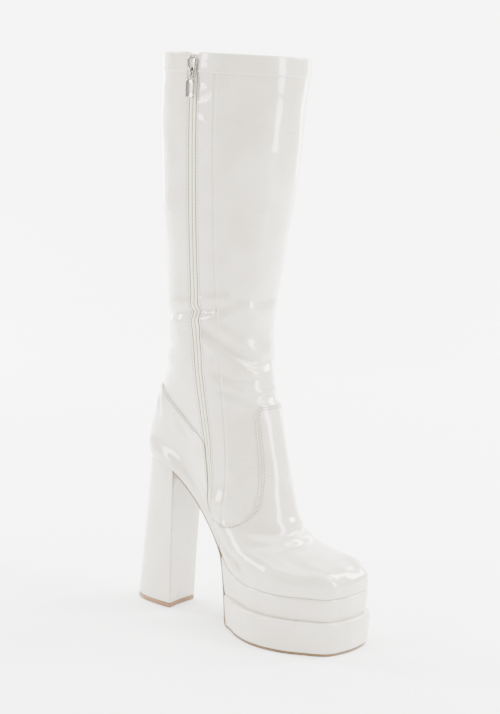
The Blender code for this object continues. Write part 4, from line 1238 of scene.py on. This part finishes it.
def make_tab():
    """The pull tab: a loop through the slider's arch, and a plate whose lower end is bent out."""
    pivot_b = SLIDER_LIFT + SLIDER_THICK + 0.35 + TAB_THICK / 2
    half = TAB_THICK / 2
    link = round_box(2.85, LINK_LONG / 2 - 0.5, 1.3, HINGE_C + half - LINK_LONG / 2)
    path = np.column_stack([link[:, 0], np.full(len(link), pivot_b), link[:, 1]])
    way = np.roll(path, -1, axis=0) - np.roll(path, 1, axis=0)
    way /= np.linalg.norm(way, axis=1, keepdims=True)
    turn = 2 * np.pi * np.arange(12) / 12
    side = np.cross(way, (0, 1, 0))
    ring = from_zip(path[:, None] + side[:, None] * (0.62 * np.cos(turn))[None, :, None]
                    + np.array([0, 1, 0]) * (0.66 * np.sin(turn))[None, :, None])
    bottom = HINGE_C + half - TAB_LONG
    plate_top = HINGE_C + half - LINK_LONG + 1.2
    rows = np.linspace(plate_top, bottom, 22)
    down = (plate_top - rows) / (plate_top - bottom)
    taper = np.minimum(1.0, 0.62 + 0.38 * smooth_step(down, 0.0, 0.16))
    end = 1 - 0.12 * smooth_step(down, 0.95, 1.0)
    profile = round_box(TAB_WIDE / 2, half, 0.42, count=4)
    a = profile[None, :, 0] * (taper * end)[:, None]
    # The lower 3 mm thickens to a lip that stands outwards
    lip = 0.75 * smooth_step(down, 0.80, 0.95)[:, None] * (profile[None, :, 1] > 0)
    crown = 0.18 * (1 - (profile[None, :, 0] / (TAB_WIDE / 2)) ** 2) * (profile[None, :, 1] > 0)
    b = pivot_b + profile[None, :, 1] + lip + crown
    c = np.broadcast_to(rows[:, None], a.shape)
    plate_sections = from_zip(np.stack([a, b, c], axis=2))
    made = cluster("zip_pull", [(ring, True), (plate_sections, False)], NICKEL, "pull_tab")
    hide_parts("zip_pull_tab")


def dress_insole():
    """The insole board keeps its solid and gets the lining's cloth."""
    for slot in bpy.data.objects["insole"].material_slots:
        slot.material = LINING


def area_light(name, place, target, size, energy):
    """A soft box at place, turned to target, with its size in metres."""
    data = bpy.data.lights.new(name, "AREA")
    data.shape = "RECTANGLE"
    data.size, data.size_y = size
    data.energy = energy
    made = bpy.data.objects.new(name, data)
    made.location = place
    made.rotation_euler = (Vector(target) - Vector(place)).to_track_quat("-Z", "Y").to_euler()
    bpy.context.scene.collection.objects.link(made)


# The photograph's camera, worked out from the boot's known sizes
CAMERA_PLACE = (-1.24271, -0.78785, 0.5044)
CAMERA_HEADING = (0.8037, 0.5950)           # the way the photograph looks, on the floor
CAMERA_PITCH = 8.497        # degrees down
CAMERA_ROLL = 3.0           # degrees
CAMERA_LENS = 82.7          # for a frame 36 mm high
AIM_YAW = -2.06             # degrees turned from the photograph's axis, to centre the boot
AIM_PITCH = 0.94
BEND_START = 1.5            # metres behind the boot where the floor turns up
BEND_RADIUS = 0.9
PAPER_REACH = 5.0           # metres of paper to each side and in front
BOX_DISTANCE = 2.0          # metres from the boot to each upright box


def make_studio():
    """A white paper floor that turns up behind the boot, and the soft boxes round it."""
    turn = np.radians(np.linspace(0, 90, 20))
    profile = np.concatenate([[[-PAPER_REACH, 0.0]], np.column_stack([
        BEND_START + BEND_RADIUS * np.sin(turn), BEND_RADIUS * (1 - np.cos(turn))]),
        [[BEND_START + BEND_RADIUS, 4.0]]])
    view_way = np.array(CAMERA_HEADING)
    across = np.array([-view_way[1], view_way[0]])
    wide = np.array([-PAPER_REACH, PAPER_REACH])
    plan = profile[:, None, :1] * view_way + wide[None, :, None] * across
    height = np.broadcast_to(profile[:, None, 1:], (*plan.shape[:2], 1))
    points = np.concatenate([plan, height], axis=2).reshape(-1, 3)
    mesh = bpy.data.meshes.new("studio_paper")
    mesh.from_pydata(points.tolist(), [], grid_faces(len(profile), 2, False).reshape(-1, 4).tolist())
    mesh.shade_smooth()
    floor = bpy.data.objects.new("studio_paper", mesh)
    bpy.context.scene.collection.objects.link(floor)
    paper, tree, shader = new_finish("seamless_paper", Roughness=0.9)
    place = add_node(tree, "ShaderNodeTexCoord").outputs["Object"]
    tinted(tree, shader, noise(tree, place, 3.0), "#F6F5F4", "#FAF9F8")
    mesh.materials.append(paper)

    sky = bpy.data.worlds.new("studio")
    sky.use_nodes = True
    sky.node_tree.nodes["Background"].inputs["Color"].default_value = linear("#FBFBFB")
    sky.node_tree.nodes["Background"].inputs["Strength"].default_value = 1.0
    bpy.context.scene.world = sky
    middle = (0.0, 0.05, 0.28)
    area_light("top_box", (-0.2, -0.1, 2.5), (0.0, 0.0, 0.0), (2.2, 2.2), 140)
    # Boxes round the boot: the angle about the upright axis, in degrees, then the box
    for name, angle, height, size, energy in (
            ("left_box", 152.0, 0.85, (0.42, 1.20), 60),
            ("right_box", 283.0, 0.80, (0.56, 1.30), 74),
            ("left_rim", 66.0, 0.80, (0.30, 1.30), 24),
            ("right_rim", 356.0, 0.80, (0.30, 1.30), 20)):
        way = np.radians(angle)
        place = (BOX_DISTANCE * np.cos(way), 0.05 + BOX_DISTANCE * np.sin(way), height)
        area_light(name, place, middle, size, energy)
    area_light("toe_box", (0.55, -0.95, 1.55), (0.0, -0.03, 0.08), (0.8, 0.5), 26)
    for name, side in (("paper_light_left", 1.0), ("paper_light_right", -1.0)):
        near = view_way * 1.0 + across * side * 2.0
        far = view_way * 2.4 + across * side * 0.3
        area_light(name, (*near, 1.6), (*far, 0.6), (0.9, 1.6), 200)


def make_camera():
    """The camera: heading turned by yaw, tipped down by pitch, rolled about its axis."""
    yaw = np.radians(AIM_YAW)
    x, y = CAMERA_HEADING
    heading = np.array([x * np.cos(yaw) - y * np.sin(yaw), x * np.sin(yaw) + y * np.cos(yaw), 0.0])
    pitch = np.radians(CAMERA_PITCH + AIM_PITCH)
    forward = heading / np.linalg.norm(heading) * np.cos(pitch) - np.array([0, 0, np.sin(pitch)])
    right = np.cross(forward, (0.0, 0.0, 1.0))
    right /= np.linalg.norm(right)
    up = np.cross(right, forward)
    roll = np.radians(CAMERA_ROLL)
    turned_right = right * np.cos(roll) + up * np.sin(roll)
    turned_up = up * np.cos(roll) - right * np.sin(roll)
    data = bpy.data.cameras.new("photo_camera")
    data.sensor_fit = "VERTICAL"
    data.sensor_height = 36.0
    data.lens = CAMERA_LENS
    made = bpy.data.objects.new("photo_camera", data)
    turn = Matrix([turned_right, turned_up, -forward]).transposed().to_4x4()
    made.matrix_world = Matrix.Translation(CAMERA_PLACE) @ turn
    bpy.context.scene.collection.objects.link(made)
    bpy.context.scene.camera = made


make_camera()
make_studio()
make_skin()
overlay("vamp_panel", shield_low, shield_high, 130, "vamp_shield")
overlay("counter_panel", counter_low, counter_high, 90, "counter")
make_collar()
make_tape()
make_platform()
make_outsole()
make_heel()
make_stitching()
make_slider()
make_tab()
dress_insole()
